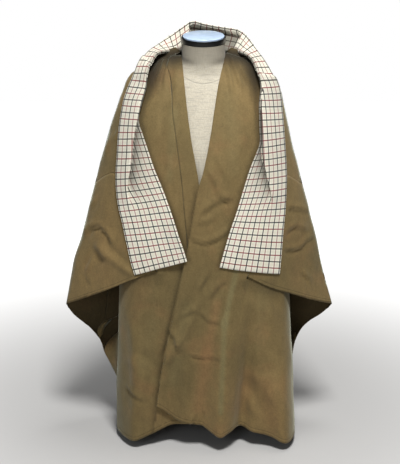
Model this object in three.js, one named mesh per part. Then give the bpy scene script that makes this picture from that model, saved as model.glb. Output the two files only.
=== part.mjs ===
// A blanket coat with wide dropped sleeves and a folded stole, worn by a limbless dress form.
// Millimetres, +Z up, the front faces -Y. Heights of the cloth are measured from the lowest
// point of the hem, which hangs HEM_CLEAR above the floor.
import * as THREE from 'three';

// Driving sizes
const HEM_CLEAR = 14;
const COAT_FORWARD = 35;
const WALL = 2.0;
const BAND_WALL = 3.0;
const SEAM_GAP = 0.3;
const SEAM_DRAW = SEAM_GAP / 2 + 0.12;
const SLEEVE_DRAW = SEAM_GAP / 2 + 0.35;
const SIDE_DRAW = 3.6;
const LAYER_GAP = 0.6;
const TUCK_GAP = 2.2;
const STOLE_WALL = 1.6;
const STOLE_WIDTH = 150;
const STOLE_LIFT = 1.7;
const LAYER_PITCH = 2.5;
// Height of the sleeve tips, and the first place on the section that counts as the back
const CUFF_TIP = 332;
const BEHIND = 1.0001;

// Sides: -1 is the wearer's right (viewer's left), +1 the wearer's left.
const RIGHT = -1;
const LEFT = 1;

// The cape-like upper layer: half widths at the outer fold, the depth of that fold, the depth of
// the centre front and back, and how round the section is (0.5 an ellipse, 1 a pointed oval)
const CAPE = [
  { z: 996, halfRight: 57, halfLeft: 57, fold: 4, front: 12, back: 58, round: 0.52 },
  { z: 985, halfRight: 88, halfLeft: 86, fold: 4, front: 26, back: 66, round: 0.52 },
  { z: 972, halfRight: 128, halfLeft: 122, fold: 4, front: 40, back: 74, round: 0.53 },
  { z: 958, halfRight: 160, halfLeft: 149, fold: 4, front: 53, back: 82, round: 0.54 },
  { z: 944, halfRight: 180, halfLeft: 167, fold: 4, front: 63, back: 88, round: 0.56 },
  { z: 925, halfRight: 194, halfLeft: 182, fold: 4, front: 75, back: 95, round: 0.58 },
  { z: 900, halfRight: 203, halfLeft: 195, fold: 4, front: 87, back: 102, round: 0.6 },
  { z: 870, halfRight: 215, halfLeft: 202, fold: 5, front: 99, back: 109, round: 0.63 },
  { z: 821, halfRight: 232, halfLeft: 214, fold: 6, front: 116, back: 118, round: 0.67 },
  { z: 758, halfRight: 252, halfLeft: 229, fold: 8, front: 129, back: 126, round: 0.72 },
  { z: 700, halfRight: 269, halfLeft: 245, fold: 10, front: 137, back: 131, round: 0.76 },
  { z: 616, halfRight: 292, halfLeft: 267, fold: 10, front: 142, back: 135, round: 0.82 },
  { z: 527, halfRight: 317, halfLeft: 291, fold: 12, front: 145, back: 137, round: 0.88 },
  { z: 455, halfRight: 339, halfLeft: 309, fold: 14, front: 145, back: 137, round: 0.92 },
  { z: 399, halfRight: 352, halfLeft: 324, fold: 16, front: 145, back: 136, round: 0.92 },
  { z: 332, halfRight: 365, halfLeft: 342, fold: 16, front: 145, back: 133, round: 0.92 },
];

// Below the sleeve tips the back layer ends at the back cuff edge, falls on to the body and
// goes down as the side seam: half widths and depths of that edge
const BACK_EDGE = [
  { z: 332, halfRight: 365, depthRight: 16, halfLeft: 342, depthLeft: 16, round: 0.92 },
  { z: 300, halfRight: 350, depthRight: 30, halfLeft: 316, depthLeft: 30, round: 0.9 },
  { z: 272, halfRight: 328, depthRight: 45, halfLeft: 286, depthLeft: 48, round: 0.86 },
  { z: 248, halfRight: 306, depthRight: 56, halfLeft: 266, depthLeft: 52, round: 0.8 },
  { z: 215, halfRight: 281, depthRight: 60, halfLeft: 249, depthLeft: 44, round: 0.7 },
  { z: 180, halfRight: 268, depthRight: 50, halfLeft: 242, depthLeft: 38, round: 0.62 },
  { z: 145, halfRight: 250, depthRight: 40, halfLeft: 240, depthLeft: 34, round: 0.56 },
  { z: 110, halfRight: 236, depthRight: 32, halfLeft: 240, depthLeft: 32, round: 0.52 },
  { z: 0, halfRight: 234, depthRight: 32, halfLeft: 244, depthLeft: 32, round: 0.5 },
];

// The lower body under the sleeves; square is how boxy its section is, 1 an ellipse
const BODY = [
  { z: 620, halfRight: 222, halfLeft: 222, front: 142, back: 134, squareRight: 0.9, squareLeft: 0.9 },
  { z: 455, halfRight: 221, halfLeft: 222, front: 144, back: 132, squareRight: 0.84, squareLeft: 0.82 },
  { z: 400, halfRight: 221, halfLeft: 224, front: 144, back: 130, squareRight: 0.8, squareLeft: 0.76 },
  { z: 290, halfRight: 226, halfLeft: 231, front: 142, back: 126, squareRight: 0.72, squareLeft: 0.66 },
  { z: 160, halfRight: 231, halfLeft: 240, front: 138, back: 122, squareRight: 0.66, squareLeft: 0.58 },
  { z: -20, halfRight: 234, halfLeft: 247, front: 132, back: 120, squareRight: 0.62, squareLeft: 0.52 },
];

// Soft folds of the lower body and back. Each runs from top to hem; push is outwards
const FOLDS = [
  { side: LEFT, back: 0, topZ: 520, topX: 70, hemX: 40, spread: 30, push: 30 },
  { side: LEFT, back: 0, topZ: 440, topX: 128, hemX: 97, spread: 17, push: -26 },
  { side: LEFT, back: 0, topZ: 330, topX: 190, hemX: 214, spread: 38, push: 46 },
  { side: RIGHT, back: 0, topZ: 430, topX: 165, hemX: 182, spread: 34, push: 26 },
  { side: RIGHT, back: 0, topZ: 420, topX: 70, hemX: 84, spread: 30, push: -20 },
  { side: LEFT, back: 1, topZ: 760, topX: 30, hemX: 58, spread: 32, push: 22 },
  { side: LEFT, back: 1, topZ: 700, topX: 78, hemX: 112, spread: 28, push: -14 },
  { side: LEFT, back: 1, topZ: 640, topX: 120, hemX: 162, spread: 32, push: 20 },
  { side: RIGHT, back: 1, topZ: 740, topX: 34, hemX: 50, spread: 30, push: 20 },
  { side: RIGHT, back: 1, topZ: 690, topX: 80, hemX: 102, spread: 28, push: -15 },
  { side: RIGHT, back: 1, topZ: 600, topX: 128, hemX: 156, spread: 32, push: 20 },
];

// Front edge of each front, the seam of the band, and the hem, in width and height
const FRONT_EDGE_LEFT = [
  { z: 996, x: 56 }, { z: 979, x: 51 }, { z: 927, x: 37 }, { z: 874, x: 28 }, { z: 795, x: 15 },
  { z: 714, x: -2 }, { z: 690, x: -10 }, { z: 628, x: -22 }, { z: 560, x: -34 }, { z: 494, x: -47 },
  { z: 404, x: -66 }, { z: 260, x: -97 }, { z: 116, x: -119 }, { z: 0, x: -128 },
];
const FRONT_EDGE_RIGHT = [
  { z: 996, x: -56 }, { z: 979, x: -53 }, { z: 918, x: -46 }, { z: 874, x: -41 }, { z: 795, x: -30 },
  { z: 713, x: -15 }, { z: 640, x: -5 }, { z: 500, x: 4 }, { z: 300, x: 12 }, { z: 0, x: 14 },
];
const BAND_SEAM = [
  { z: 996, x: -57 }, { z: 979, x: -88 }, { z: 938, x: -82 }, { z: 862, x: -75 }, { z: 795, x: -67 },
  { z: 697, x: -54 }, { z: 600, x: -46 }, { z: 500, x: -38 }, { z: 300, x: -30 }, { z: 0, x: -28 },
];
const HEM_LEFT = [
  { x: -128, z: 102 }, { x: -114, z: 98 }, { x: -72, z: 62 }, { x: -9, z: 52 }, { x: 24, z: 36 },
  { x: 44, z: 29 }, { x: 63, z: 36 }, { x: 88, z: 39 }, { x: 131, z: 28 }, { x: 178, z: 20 },
  { x: 205, z: 10 }, { x: 222, z: 6 }, { x: 250, z: 9 },
];
const HEM_RIGHT = [
  { x: -240, z: 5 }, { x: -193, z: 6 }, { x: -174, z: 9 }, { x: -130, z: 24 }, { x: -82, z: 42 },
  { x: -30, z: 54 }, { x: 20, z: 60 },
];
const BACK_HEM = 14;

// Armhole seam of the front, from the shoulder fold to the underarm, and the front cuff edge,
// as distances from the centre and heights
const ARMHOLE = {
  [RIGHT]: [
    { u: 0, x: 278, z: 664 }, { u: 0.1, x: 250, z: 689 }, { u: 0.2, x: 224, z: 698 },
    { u: 0.36, x: 196, z: 668 }, { u: 0.6, x: 160, z: 590 }, { u: 0.8, x: 137, z: 526 },
    { u: 1, x: 120, z: 470 },
  ],
  [LEFT]: [
    { u: 0, x: 253, z: 661 }, { u: 0.1, x: 230, z: 681 }, { u: 0.2, x: 209, z: 693 },
    { u: 0.36, x: 186, z: 664 }, { u: 0.6, x: 153, z: 585 }, { u: 0.8, x: 130, z: 515 },
    { u: 1, x: 112, z: 453 },
  ],
};
const CUFF = {
  [RIGHT]: [
    { u: 0, x: 365, z: 332 }, { u: 0.25, x: 307, z: 365 }, { u: 0.5, x: 250, z: 396 },
    { u: 0.75, x: 188, z: 431 }, { u: 1, x: 120, z: 460 },
  ],
  [LEFT]: [
    { u: 0, x: 342, z: 332 }, { u: 0.25, x: 287, z: 358 }, { u: 0.5, x: 228, z: 387 },
    { u: 0.75, x: 174, z: 412 }, { u: 1, x: 112, z: 443 },
  ],
};
const UNDERARM = { [RIGHT]: { x: 114, z: 462 }, [LEFT]: { x: 106, z: 444 } };
// The back armhole seam: height and distance from the centre, from the shoulder fold down
const BACK_ARMHOLE = {
  [RIGHT]: [
    { u: 0, x: 278, z: 664 }, { u: 0.25, x: 258, z: 560 }, { u: 0.5, x: 254, z: 440 },
    { u: 0.75, x: 262, z: 320 }, { u: 1, x: 276, z: 226 },
  ],
  [LEFT]: [
    { u: 0, x: 253, z: 661 }, { u: 0.25, x: 236, z: 560 }, { u: 0.5, x: 232, z: 440 },
    { u: 0.75, x: 237, z: 330 }, { u: 1, x: 246, z: 226 },
  ],
};
// The ridge where the front turns under to the side of the body
const RIDGE = {
  [RIGHT]: [{ z: 462, x: 114 }, { z: 300, x: 112 }, { z: 0, x: 122 }],
  [LEFT]: [{ z: 444, x: 106 }, { z: 309, x: 90 }, { z: 255, x: 85 }, { z: 0, x: 82 }],
};

// The stole from its right end up over the shoulders and down to its left end. Outer and inner
// edge of the part that shows; pleat is where the fold in it lies, as a share of that width
const STOLE_RIGHT = [
  { outerX: -173, outerZ: 449, innerX: -40, innerZ: 498, pleat: 0.08 },
  { outerX: -183, outerZ: 483, innerX: -47, innerZ: 522, pleat: 0.09 },
  { outerX: -193, outerZ: 530, innerX: -59, innerZ: 557, pleat: 0.11 },
  { outerX: -203, outerZ: 578, innerX: -74, innerZ: 604, pleat: 0.14 },
  { outerX: -212, outerZ: 617, innerX: -89, innerZ: 646, pleat: 0.2 },
  { outerX: -217, outerZ: 662, innerX: -105, innerZ: 687, pleat: 0.28 },
  { outerX: -216, outerZ: 707, innerX: -121, innerZ: 725, pleat: 0.39 },
  { outerX: -212, outerZ: 749, innerX: -133, innerZ: 760, pleat: 0.48 },
  { outerX: -208, outerZ: 792, innerX: -146, innerZ: 800, pleat: 0.64 },
  { outerX: -202, outerZ: 834, innerX: -155, innerZ: 836, pleat: 0.94 },
  { outerX: -193, outerZ: 880, innerX: -144, innerZ: 880, pleat: 0.95 },
  { outerX: -179, outerZ: 918, innerX: -134, innerZ: 915, pleat: 0.95 },
];
const STOLE_LEFT = [
  { outerX: 193, outerZ: 446, innerX: 39, innerZ: 481, pleat: 0.14 },
  { outerX: 197, outerZ: 500, innerX: 52, innerZ: 530, pleat: 0.15 },
  { outerX: 201, outerZ: 555, innerX: 66, innerZ: 578, pleat: 0.18 },
  { outerX: 205, outerZ: 605, innerX: 80, innerZ: 618, pleat: 0.24 },
  { outerX: 206, outerZ: 655, innerX: 93, innerZ: 661, pleat: 0.38 },
  { outerX: 206, outerZ: 693, innerX: 104, innerZ: 697, pleat: 0.52 },
  { outerX: 203, outerZ: 735, innerX: 118, innerZ: 736, pleat: 0.7 },
  { outerX: 198, outerZ: 780, innerX: 135, innerZ: 780, pleat: 0.93 },
  { outerX: 195, outerZ: 815, innerX: 133, innerZ: 818, pleat: 0.94 },
  { outerX: 190, outerZ: 866, innerX: 130, innerZ: 870, pleat: 0.95 },
  { outerX: 179, outerZ: 914, innerX: 130, innerZ: 914, pleat: 0.95 },
];
// Round the neck: the outer, upper edge and the inner, lower one
const STOLE_NECK = [
  { outerX: -167, outerY: -26, outerZ: 944, innerX: -129, innerY: -47, innerZ: 942 },
  { outerX: -153, outerY: -8, outerZ: 970, innerX: -122, innerY: -31, innerZ: 965 },
  { outerX: -138, outerY: 10, outerZ: 993, innerX: -112, innerY: -12, innerZ: 982 },
  { outerX: -114, outerY: 32, outerZ: 1012, innerX: -97, innerY: 12, innerZ: 986 },
  { outerX: -84, outerY: 54, outerZ: 1034, innerX: -78, innerY: 38, innerZ: 986 },
  { outerX: -57, outerY: 73, outerZ: 1053, innerX: -57, innerY: 63, innerZ: 992 },
  { outerX: -30, outerY: 82, outerZ: 1068, innerX: -31, innerY: 77, innerZ: 1002 },
  { outerX: 0, outerY: 86, outerZ: 1062, innerX: 0, innerY: 82, innerZ: 1000 },
  { outerX: 31, outerY: 85, outerZ: 1056, innerX: 30, innerY: 79, innerZ: 998 },
  { outerX: 63, outerY: 82, outerZ: 1050, innerX: 57, innerY: 67, innerZ: 991 },
  { outerX: 91, outerY: 74, outerZ: 1044, innerX: 76, innerY: 50, innerZ: 987 },
  { outerX: 109, outerY: 56, outerZ: 1034, innerX: 88, innerY: 30, innerZ: 985 },
  { outerX: 121, outerY: 32, outerZ: 1018, innerX: 98, innerY: 8, innerZ: 984 },
  { outerX: 135, outerY: 10, outerZ: 995, innerX: 109, innerY: -8, innerZ: 978 },
  { outerX: 151, outerY: -9, outerZ: 970, innerX: 120, innerY: -27, innerZ: 963 },
  { outerX: 168, outerY: -27, outerZ: 941, innerX: 127, innerY: -45, innerZ: 940 },
];

// The dress form: half width, depths in front and behind, how round the section is
const FORM = [
  { z: 1020.4, half: 53, front: 53, back: 53, round: 0.5 },
  { z: 1004, half: 53.6, front: 53.4, back: 53.4, round: 0.5 },
  { z: 992, half: 54.2, front: 54, back: 54, round: 0.5 },
  { z: 983, half: 54.6, front: 54.4, back: 54.4, round: 0.5 },
  { z: 975, half: 58, front: 55, back: 55, round: 0.7 },
  { z: 966, half: 80, front: 56, back: 57, round: 1.5 },
  { z: 956, half: 106, front: 58, back: 60, round: 1.5 },
  { z: 944, half: 128, front: 61, back: 65, round: 1.3 },
  { z: 930, half: 149, front: 68, back: 70, round: 1.0 },
  { z: 912, half: 157, front: 75, back: 77, round: 0.78 },
  { z: 885, half: 160, front: 84, back: 84, round: 0.62 },
  { z: 850, half: 156, front: 95, back: 90, round: 0.54 },
  { z: 800, half: 151, front: 109, back: 95, round: 0.5 },
  { z: 740, half: 149, front: 121, back: 96, round: 0.5 },
  { z: 690, half: 143, front: 119, back: 94, round: 0.5 },
  { z: 630, half: 126, front: 104, back: 84, round: 0.5 },
  { z: 580, half: 115, front: 92, back: 78, round: 0.5 },
  { z: 520, half: 127, front: 95, back: 88, round: 0.5 },
  { z: 450, half: 148, front: 101, back: 102, round: 0.5 },
  { z: 390, half: 158, front: 103, back: 108, round: 0.5 },
  { z: 330, half: 154, front: 97, back: 102, round: 0.5 },
  { z: 300, half: 144, front: 89, back: 93, round: 0.5 },
];
const NECK_TILT = THREE.MathUtils.degToRad(10.3);
const NECK_TOP = 1037;
const RING_RADIUS = 55.5;
const RING_HEIGHT = 16;
const CAP_RADIUS = 52.4;
const CAP_SET = 5;
const POLE_RADIUS = 12.5;
const POLE_BACK = 18;
const BASE_HEIGHT = 10;
const SKID_OUT = 192;
const SKID_IN = 158;
const SKID_FRONT = -54;
const SKID_BACK = 56;
const BAR_FRONT = -10;
const BAR_BACK = 46;
const FOOT_CORNER = 6;

const clamp01 = (t) => Math.min(1, Math.max(0, t));
const smooth = (t) => clamp01(t) ** 2 * (3 - 2 * clamp01(t));
const mix = (a, b, t) => a + (b - a) * t;

// The value of a column at a place between the rows of a table, along a smooth curve
function read(table, key, at, column) {
  const rising = table[table.length - 1][key] > table[0][key];
  const rows = rising ? table : [...table].reverse();
  const place = Math.min(rows[rows.length - 1][key], Math.max(rows[0][key], at));
  let i = 0;
  while (i < rows.length - 2 && rows[i + 1][key] < place) i += 1;
  const slope = (k) => {
    const before = rows[Math.max(0, k - 1)];
    const after = rows[Math.min(rows.length - 1, k + 1)];
    return (after[column] - before[column]) / (after[key] - before[key]);
  };
  const [a, b] = [rows[i], rows[i + 1]];
  const span = b[key] - a[key];
  const t = (place - a[key]) / span;
  const h = t * t * (3 - 2 * t);
  const bend = t * (1 - t) * ((1 - t) * slope(i) - t * slope(i + 1)) * span;
  return mix(a[column], b[column], h) + bend;
}

const half = (table, side, z) => read(table, 'z', z, side === RIGHT ? 'halfRight' : 'halfLeft');
const square = (side, z) => read(BODY, 'z', z, side === RIGHT ? 'squareRight' : 'squareLeft');

// How far the folds push the cloth out at a place
function foldPush(side, back, x, z) {
  let push = 0;
  for (const fold of FOLDS) {
    if (fold.side !== side || fold.back !== back || z > fold.topZ) continue;
    const down = (fold.topZ - z) / fold.topZ;
    const centre = mix(fold.topX, fold.hemX, down);
    push += fold.push * smooth(down * 1.15) * Math.exp(-(((x - centre) / fold.spread) ** 2));
  }
  return push;
}

// A point of the upper layer: s is 0 at the centre front, 1 at the outer fold, 2 at the centre back
function cape(side, s, z) {
  const back = s > 1;
  const low = back && z < CUFF_TIP;
  const table = low ? BACK_EDGE : CAPE;
  const width = half(table, side, z);
  const edgeDepth = side === RIGHT ? 'depthRight' : 'depthLeft';
  const edge = low ? read(table, 'z', z, edgeDepth) : read(CAPE, 'z', z, 'fold');
  const centre = back ? read(low ? BODY : CAPE, 'z', z, 'back') : read(CAPE, 'z', z, 'front');
  const angle = (s * Math.PI) / 2;
  const x = width * Math.sin(angle);
  const bulge = Math.abs(Math.cos(angle)) ** (2 * read(table, 'z', z, 'round'));
  let y = back ? mix(edge, backDepth(z, centre), bulge) : mix(edge, -centre, bulge);
  if (back) y += foldPush(side, 1, x, z) * smooth(Math.abs(Math.cos(angle)) * 2.2);
  return new THREE.Vector3(side * x, y, z);
}

// The centre back keeps one smooth depth from the upper layer's table to the body's
function backDepth(z, centre) {
  return z < 400 ? mix(read(BODY, 'z', z, 'back'), centre, smooth((z - 300) / 100)) : centre;
}

// Where a distance from the centre lies on the section of the upper layer
const onFront = (side, x, z) => (2 / Math.PI) * Math.asin(clamp01(x / half(CAPE, side, z)));
function onBack(side, x, z) {
  const table = z < CUFF_TIP ? BACK_EDGE : CAPE;
  return 2 - (2 / Math.PI) * Math.asin(clamp01(x / half(table, side, z)));
}

// Depth of the upper layer in front, at a width from the centre line
function capeDepth(x, z) {
  const side = x < 0 ? RIGHT : LEFT;
  return cape(side, onFront(side, Math.abs(x), z), z).y;
}

// A point of the lower body: s as on the upper layer
function body(side, s, z) {
  const angle = (s * Math.PI) / 2;
  const width = half(BODY, side, z);
  const squared = square(side, z);
  const x = width * Math.sin(angle) ** squared;
  const depth = read(BODY, 'z', z, s < 1 ? 'front' : 'back');
  let y = -Math.sign(Math.cos(angle)) * depth * Math.abs(Math.cos(angle)) ** squared;
  if (s < 1) y -= foldPush(side, 0, x, z) * smooth(Math.cos(angle) * 2.4);
  return new THREE.Vector3(side * x, y, z);
}

function bodyDepth(x, z) {
  const side = x < 0 ? RIGHT : LEFT;
  const share = clamp01(Math.abs(x) / half(BODY, side, z)) ** (1 / square(side, z));
  return body(side, (2 / Math.PI) * Math.asin(share), z).y;
}

// Depth of the front over its whole width inside the ridge
const frontDepth = (x, z) => mix(bodyDepth(x, z), capeDepth(x, z), smooth((z - 250) / 190));

// The wearer's left front laps over the right one
function lapLift(x, z) {
  const away = (x - read(FRONT_EDGE_LEFT, 'z', z, 'x')) / 260;
  return 6.5 * (1 - smooth(away)) * smooth((860 - z) / 120);
}
const underDrop = (x, z) => 2.5 * smooth((x + 190) / 100) * smooth((800 - z) / 90);

function frontPoint(side, x, z) {
  const y = frontDepth(x, z) + (side === LEFT ? -lapLift(x, z) : underDrop(x, z));
  return new THREE.Vector3(x, y, z);
}

// Outer and inner point of a wall on a surface of two parameters. Sense is 1 when the first one
// runs to the wearer's left in front, -1 when it runs the other way
function wallPoint(surface, a, b, wall, sense = 1) {
  const step = 0.02;
  const along = surface(a + step, b).sub(surface(a - step, b));
  const down = surface(a, b + 1).sub(surface(a, b - 1));
  const normal = along.cross(down).normalize().multiplyScalar(sense);
  const outer = surface(a, b);
  return { outer, inner: outer.clone().addScaledVector(normal, -wall) };
}

// A closed wall from rows of wall points that may have gaps (null), rows running down and
// columns running left to right seen from outside
class Cloth {
  constructor() {
    this.points = [];
    this.quads = [];
  }

  add(point) {
    this.points.push(point);
    return this.points.length - 1;
  }

  sheet(rows) {
    for (let r = 0; r + 1 < rows.length; r += 1) {
      for (let c = 0; c + 1 < rows[r].length; c += 1) {
        this.quads.push([rows[r][c], rows[r + 1][c], rows[r + 1][c + 1], rows[r][c + 1]]);
      }
    }
  }

  // Turns every face the same way when the sheets were entered inside out
  faceOutwards() {
    let facing = 0;
    for (const [a, b, c] of this.quads) {
      const [p, q, r] = [a, b, c].map((id) => this.points[id].outer);
      const normal = q.clone().sub(p).cross(r.clone().sub(p));
      facing += normal.dot(p.clone().sub(this.points[a].inner));
    }
    if (facing < 0) this.quads.forEach((ring) => ring.reverse());
  }

  geometry() {
    this.faceOutwards();
    const count = this.points.length;
    const positions = [];
    for (const p of this.points) positions.push(p.outer.x, p.outer.y, p.outer.z);
    for (const p of this.points) positions.push(p.inner.x, p.inner.y, p.inner.z);
    const index = [];
    const borders = new Map();
    for (const ring of this.quads) {
      const [a, b, c, d] = ring;
      index.push(a, b, c, a, c, d);
      index.push(a + count, c + count, b + count, a + count, d + count, c + count);
      ring.forEach((from, k) => {
        const to = ring[(k + 1) % 4];
        const back = `${to},${from}`;
        if (borders.has(back)) borders.delete(back);
        else borders.set(`${from},${to}`, [from, to]);
      });
    }
    for (const [from, to] of borders.values()) {
      index.push(to, from, from + count, to, from + count, to + count);
    }
    const geometry = new THREE.BufferGeometry();
    geometry.setAttribute('position', new THREE.Float32BufferAttribute(positions, 3));
    geometry.setIndex(index);
    geometry.computeVertexNormals();
    return geometry;
  }
}

// Draws the two ends of a row of points in, so that two pieces leave the seam gap between them
function drawIn(row, first, last, by = SEAM_DRAW) {
  const pull = (end, next) => {
    for (const face of ['outer', 'inner']) {
      const way = next[face].clone().sub(end[face]).normalize();
      end[face].addScaledVector(way, by);
    }
  };
  if (first) pull(row[0], row[1]);
  if (last) pull(row[row.length - 1], row[row.length - 2]);
}

const steps = (count) => Array.from({ length: count + 1 }, (_, i) => i / count);
const evenly = (from, to, count) => steps(count).map((t) => mix(from, to, t));

// The back, which starts at its edge below the cuff
const backSurface = (side) => (s, z) => cape(side, z < CUFF_TIP ? Math.max(s, BEHIND) : s, z);

const group = new THREE.Group();
group.name = 'blanket_coat';
const cloth = new THREE.Group();
cloth.position.set(0, -COAT_FORWARD, HEM_CLEAR);
group.add(cloth);

function finish(color, roughness, metalness) {
  return new THREE.MeshStandardMaterial({ color, roughness, metalness });
}
const coatMaterial = () => finish(0x7b6a48, 0.85, 0);
const stoleMaterial = () => finish(0xe4dfce, 0.9, 0);
const linenMaterial = () => finish(0xd2cbb8, 0.9, 0);
const ringMaterial = () => finish(0x141416, 0.35, 0.1);
const capMaterial = () => finish(0xbccfe6, 0.15, 0.1);
const standMaterial = () => finish(0x33322f, 0.4, 0.6);

function addMesh(parent, name, geometry, material) {
  const mesh = new THREE.Mesh(geometry, material);
  mesh.name = name;
  parent.add(mesh);
  return mesh;
}

// Rows of the shoulder and of the seams, shared by the pieces that meet there
const SHOULDER_ROWS = 7;
const SEAM_ROWS = 12;
const LOW_ROWS = 12;
const SHOULDER_Z = evenly(0, 1, SHOULDER_ROWS);

const seamAt = (table, u) => ({ x: read(table, 'u', u, 'x'), z: read(table, 'u', u, 'z') });
const shoulderZ = (side, t) => mix(995, ARMHOLE[side][0].z, t ** 1.25);

// One front: rows fan out from the front edge to the shoulder, the armhole seam and the ridge,
// then the side of the body goes on round to the side seam and up inside the sleeve
function frontPiece(side, edgeTable, hemTable) {
  const piece = new Cloth();
  const columns = 8;
  const edgeX = (z) => read(edgeTable, 'z', z, 'x');
  const pointAt = (x, z) => wallPoint((a, b) => frontPoint(side, a, b), x, z, WALL);
  const upper = [];
  const fan = (edgeZ, outX, outZ) => {
    const from = edgeX(edgeZ);
    const row = steps(columns).map((t) => {
      const x = mix(from, outX, t);
      const z = mix(edgeZ, outZ, t ** 1.15);
      return { x, z };
    });
    return row;
  };
  const capeWall = (x, z) => {
    const near = x < 0 ? RIGHT : LEFT;
    const s = Math.min(1, onFront(near, Math.abs(x), z));
    const pushed = frontPoint(side, x, z);
    const plain = wallPoint((a, b) => cape(near, a, b), s, z, WALL, near);
    const lift = s > 0.995 ? 0 : pushed.y - capeDepth(x, z);
    plain.outer.y += lift;
    plain.inner.y += lift;
    return plain;
  };
  for (const t of SHOULDER_Z) {
    const z = shoulderZ(side, t);
    upper.push(fan(mix(995, 900, t), side * half(CAPE, side, z), z));
  }
  for (const u of steps(SEAM_ROWS).slice(1)) {
    const seam = seamAt(ARMHOLE[side], u);
    upper.push(fan(mix(900, UNDERARM[side].z + 40, u), side * seam.x, seam.z));
  }
  const { x: underX, z: underZ } = UNDERARM[side];
  upper.push(fan(underZ + 14, side * underX, underZ));
  const ids = upper.map((row, r) => {
    const points = row.map(({ x, z }) => (r === upper.length - 1 ? pointAt(x, z) : capeWall(x, z)));
    drawIn(points, side === RIGHT, r < upper.length - 1);
    return points.map((p) => piece.add(p));
  });

  // The lower rows reach the hem
  const hemZ = (x) => read(hemTable, 'x', x, 'z');
  const ridgeX = (z) => side * read(RIDGE[side], 'z', z, 'x');
  const sideShares = [0.025, 0.09, 0.18, 0.28, 0.38, 0.49, 0.61, 0.74, 0.87, 1];
  const lowS = (z) => 1 + (2 / Math.PI) * Math.asin(0.19 ** (1 / square(side, z)));
  const seamS = (z) => mix(lowS(z), 1.34, smooth((z - 130) / 150));
  const startS = (z) => {
    const share = Math.abs(ridgeX(z)) / half(BODY, side, z);
    return (2 / Math.PI) * Math.asin(share ** (1 / square(side, z)));
  };
  const tucked = (s, z) => {
    const p = body(side, s, z);
    const flare = smooth((z - 470) / 130);
    if (flare > 0) {
      const inner = wallPoint((a, b) => cape(side, a, b), s, z, WALL + TUCK_GAP, side).inner;
      p.lerp(inner, flare);
    }
    if (s < 1) {
      const behind = Math.max(capeDepth(p.x, z), frontPoint(side, p.x, z).y) + WALL + TUCK_GAP;
      const under = smooth((z - (cuffHeight(side, Math.abs(p.x)) - 66)) / 46);
      if (p.y < behind) p.y = mix(p.y, behind, under);
    } else {
      const end = smooth((s - 1) / (seamS(z) - 1));
      const edge = cape(side, BEHIND, Math.min(z, CUFF_TIP - 1));
      const behind = cape(side, onBack(side, Math.abs(p.x), z), z).y - WALL - LAYER_GAP - 0.6;
      const inside = new THREE.Vector3(p.x, behind, z);
      const target = edge.lerp(inside, smooth((z - 120) / 80));
      const meet = p.clone().lerp(target, end);
      meet.z = z;
      if (z > 240) meet.y = Math.min(meet.y, behind);
      p.copy(meet);
    }
    return p;
  };
  const lowRows = steps(LOW_ROWS);
  const low = lowRows.map((v, r) => {
    const row = r === 0 ? ids[ids.length - 1] : null;
    const topZ = (hem) => mix(underZ, hem, v);
    const ridgeHem = hemZ(ridgeX(0));
    const edgeTop = underZ + 14;
    const hemEdge = hemZ(edgeX(30));
    const inner = row ?? steps(columns).map((t) => {
      const guess = mix(mix(edgeTop, hemEdge, v), mix(underZ, ridgeHem, v), t ** 1.15);
      const x = mix(edgeX(guess), ridgeX(guess), t);
      const z = mix(mix(edgeTop, underZ, t ** 1.15), hemZ(x), v);
      return { x, z };
    }).map(({ x, z }) => pointAt(x, z));
    const innerIds = row ?? inner.map((p) => piece.add(p));
    if (!row && side === RIGHT) drawIn(inner, true, false);
    const outerPoints = sideShares.map((t) => {
      const guess = topZ(0);
      const place = mix(startS(guess), seamS(guess), t);
      const hem = mix(hemZ(tucked(place, guess).x), BACK_HEM, smooth((place - 0.84) / 0.18));
      const z = topZ(hem);
      const s = mix(startS(z), seamS(z), t);
      return wallPoint(tucked, s, z, WALL, side);
    });
    drawIn(outerPoints, false, true, mix(SEAM_DRAW, SIDE_DRAW, smooth((topZ(BACK_HEM) - 70) / 30)));
    return [...innerIds, ...outerPoints.map((p) => piece.add(p))];
  });
  piece.sheet(ids);
  piece.sheet(low);

  // The side of the body goes on up inside the sleeve to the fold of the armhole
  const tuckRows = [0.16, 0.36, 0.56, 0.78, 1];
  const joint = low[0].slice(columns + 1);
  const tuck = tuckRows.map((v) => sideShares.map((t) => {
    const z = mix(underZ, 604, v);
    const s = mix(startS(underZ), seamS(underZ), t);
    return piece.add(wallPoint(tucked, s, z, WALL, side));
  }));
  piece.sheet([...tuck.reverse(), joint]);
  return piece.geometry();
}

// Height of the front cuff edge at a distance from the centre
function cuffHeight(side, x) {
  return read(CUFF[side], 'x', x, 'z');
}

// The raised band down the edge of the wearer's right front
function bandPiece() {
  const piece = new Cloth();
  const surface = (x, z) => {
    const p = frontPoint(RIGHT, x, z);
    p.y -= BAND_WALL - WALL;
    return p;
  };
  const rows = [...evenly(990, 500, 20), ...evenly(475, 58, 10)].map((z) => {
    const from = read(BAND_SEAM, 'z', z, 'x');
    const to = read(FRONT_EDGE_RIGHT, 'z', z, 'x');
    const points = evenly(from, to, 3).map((x) => wallPoint(surface, x, z, BAND_WALL));
    drawIn(points, true, false);
    return points.map((p) => piece.add(p));
  });
  piece.sheet(rows);
  return piece.geometry();
}

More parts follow.
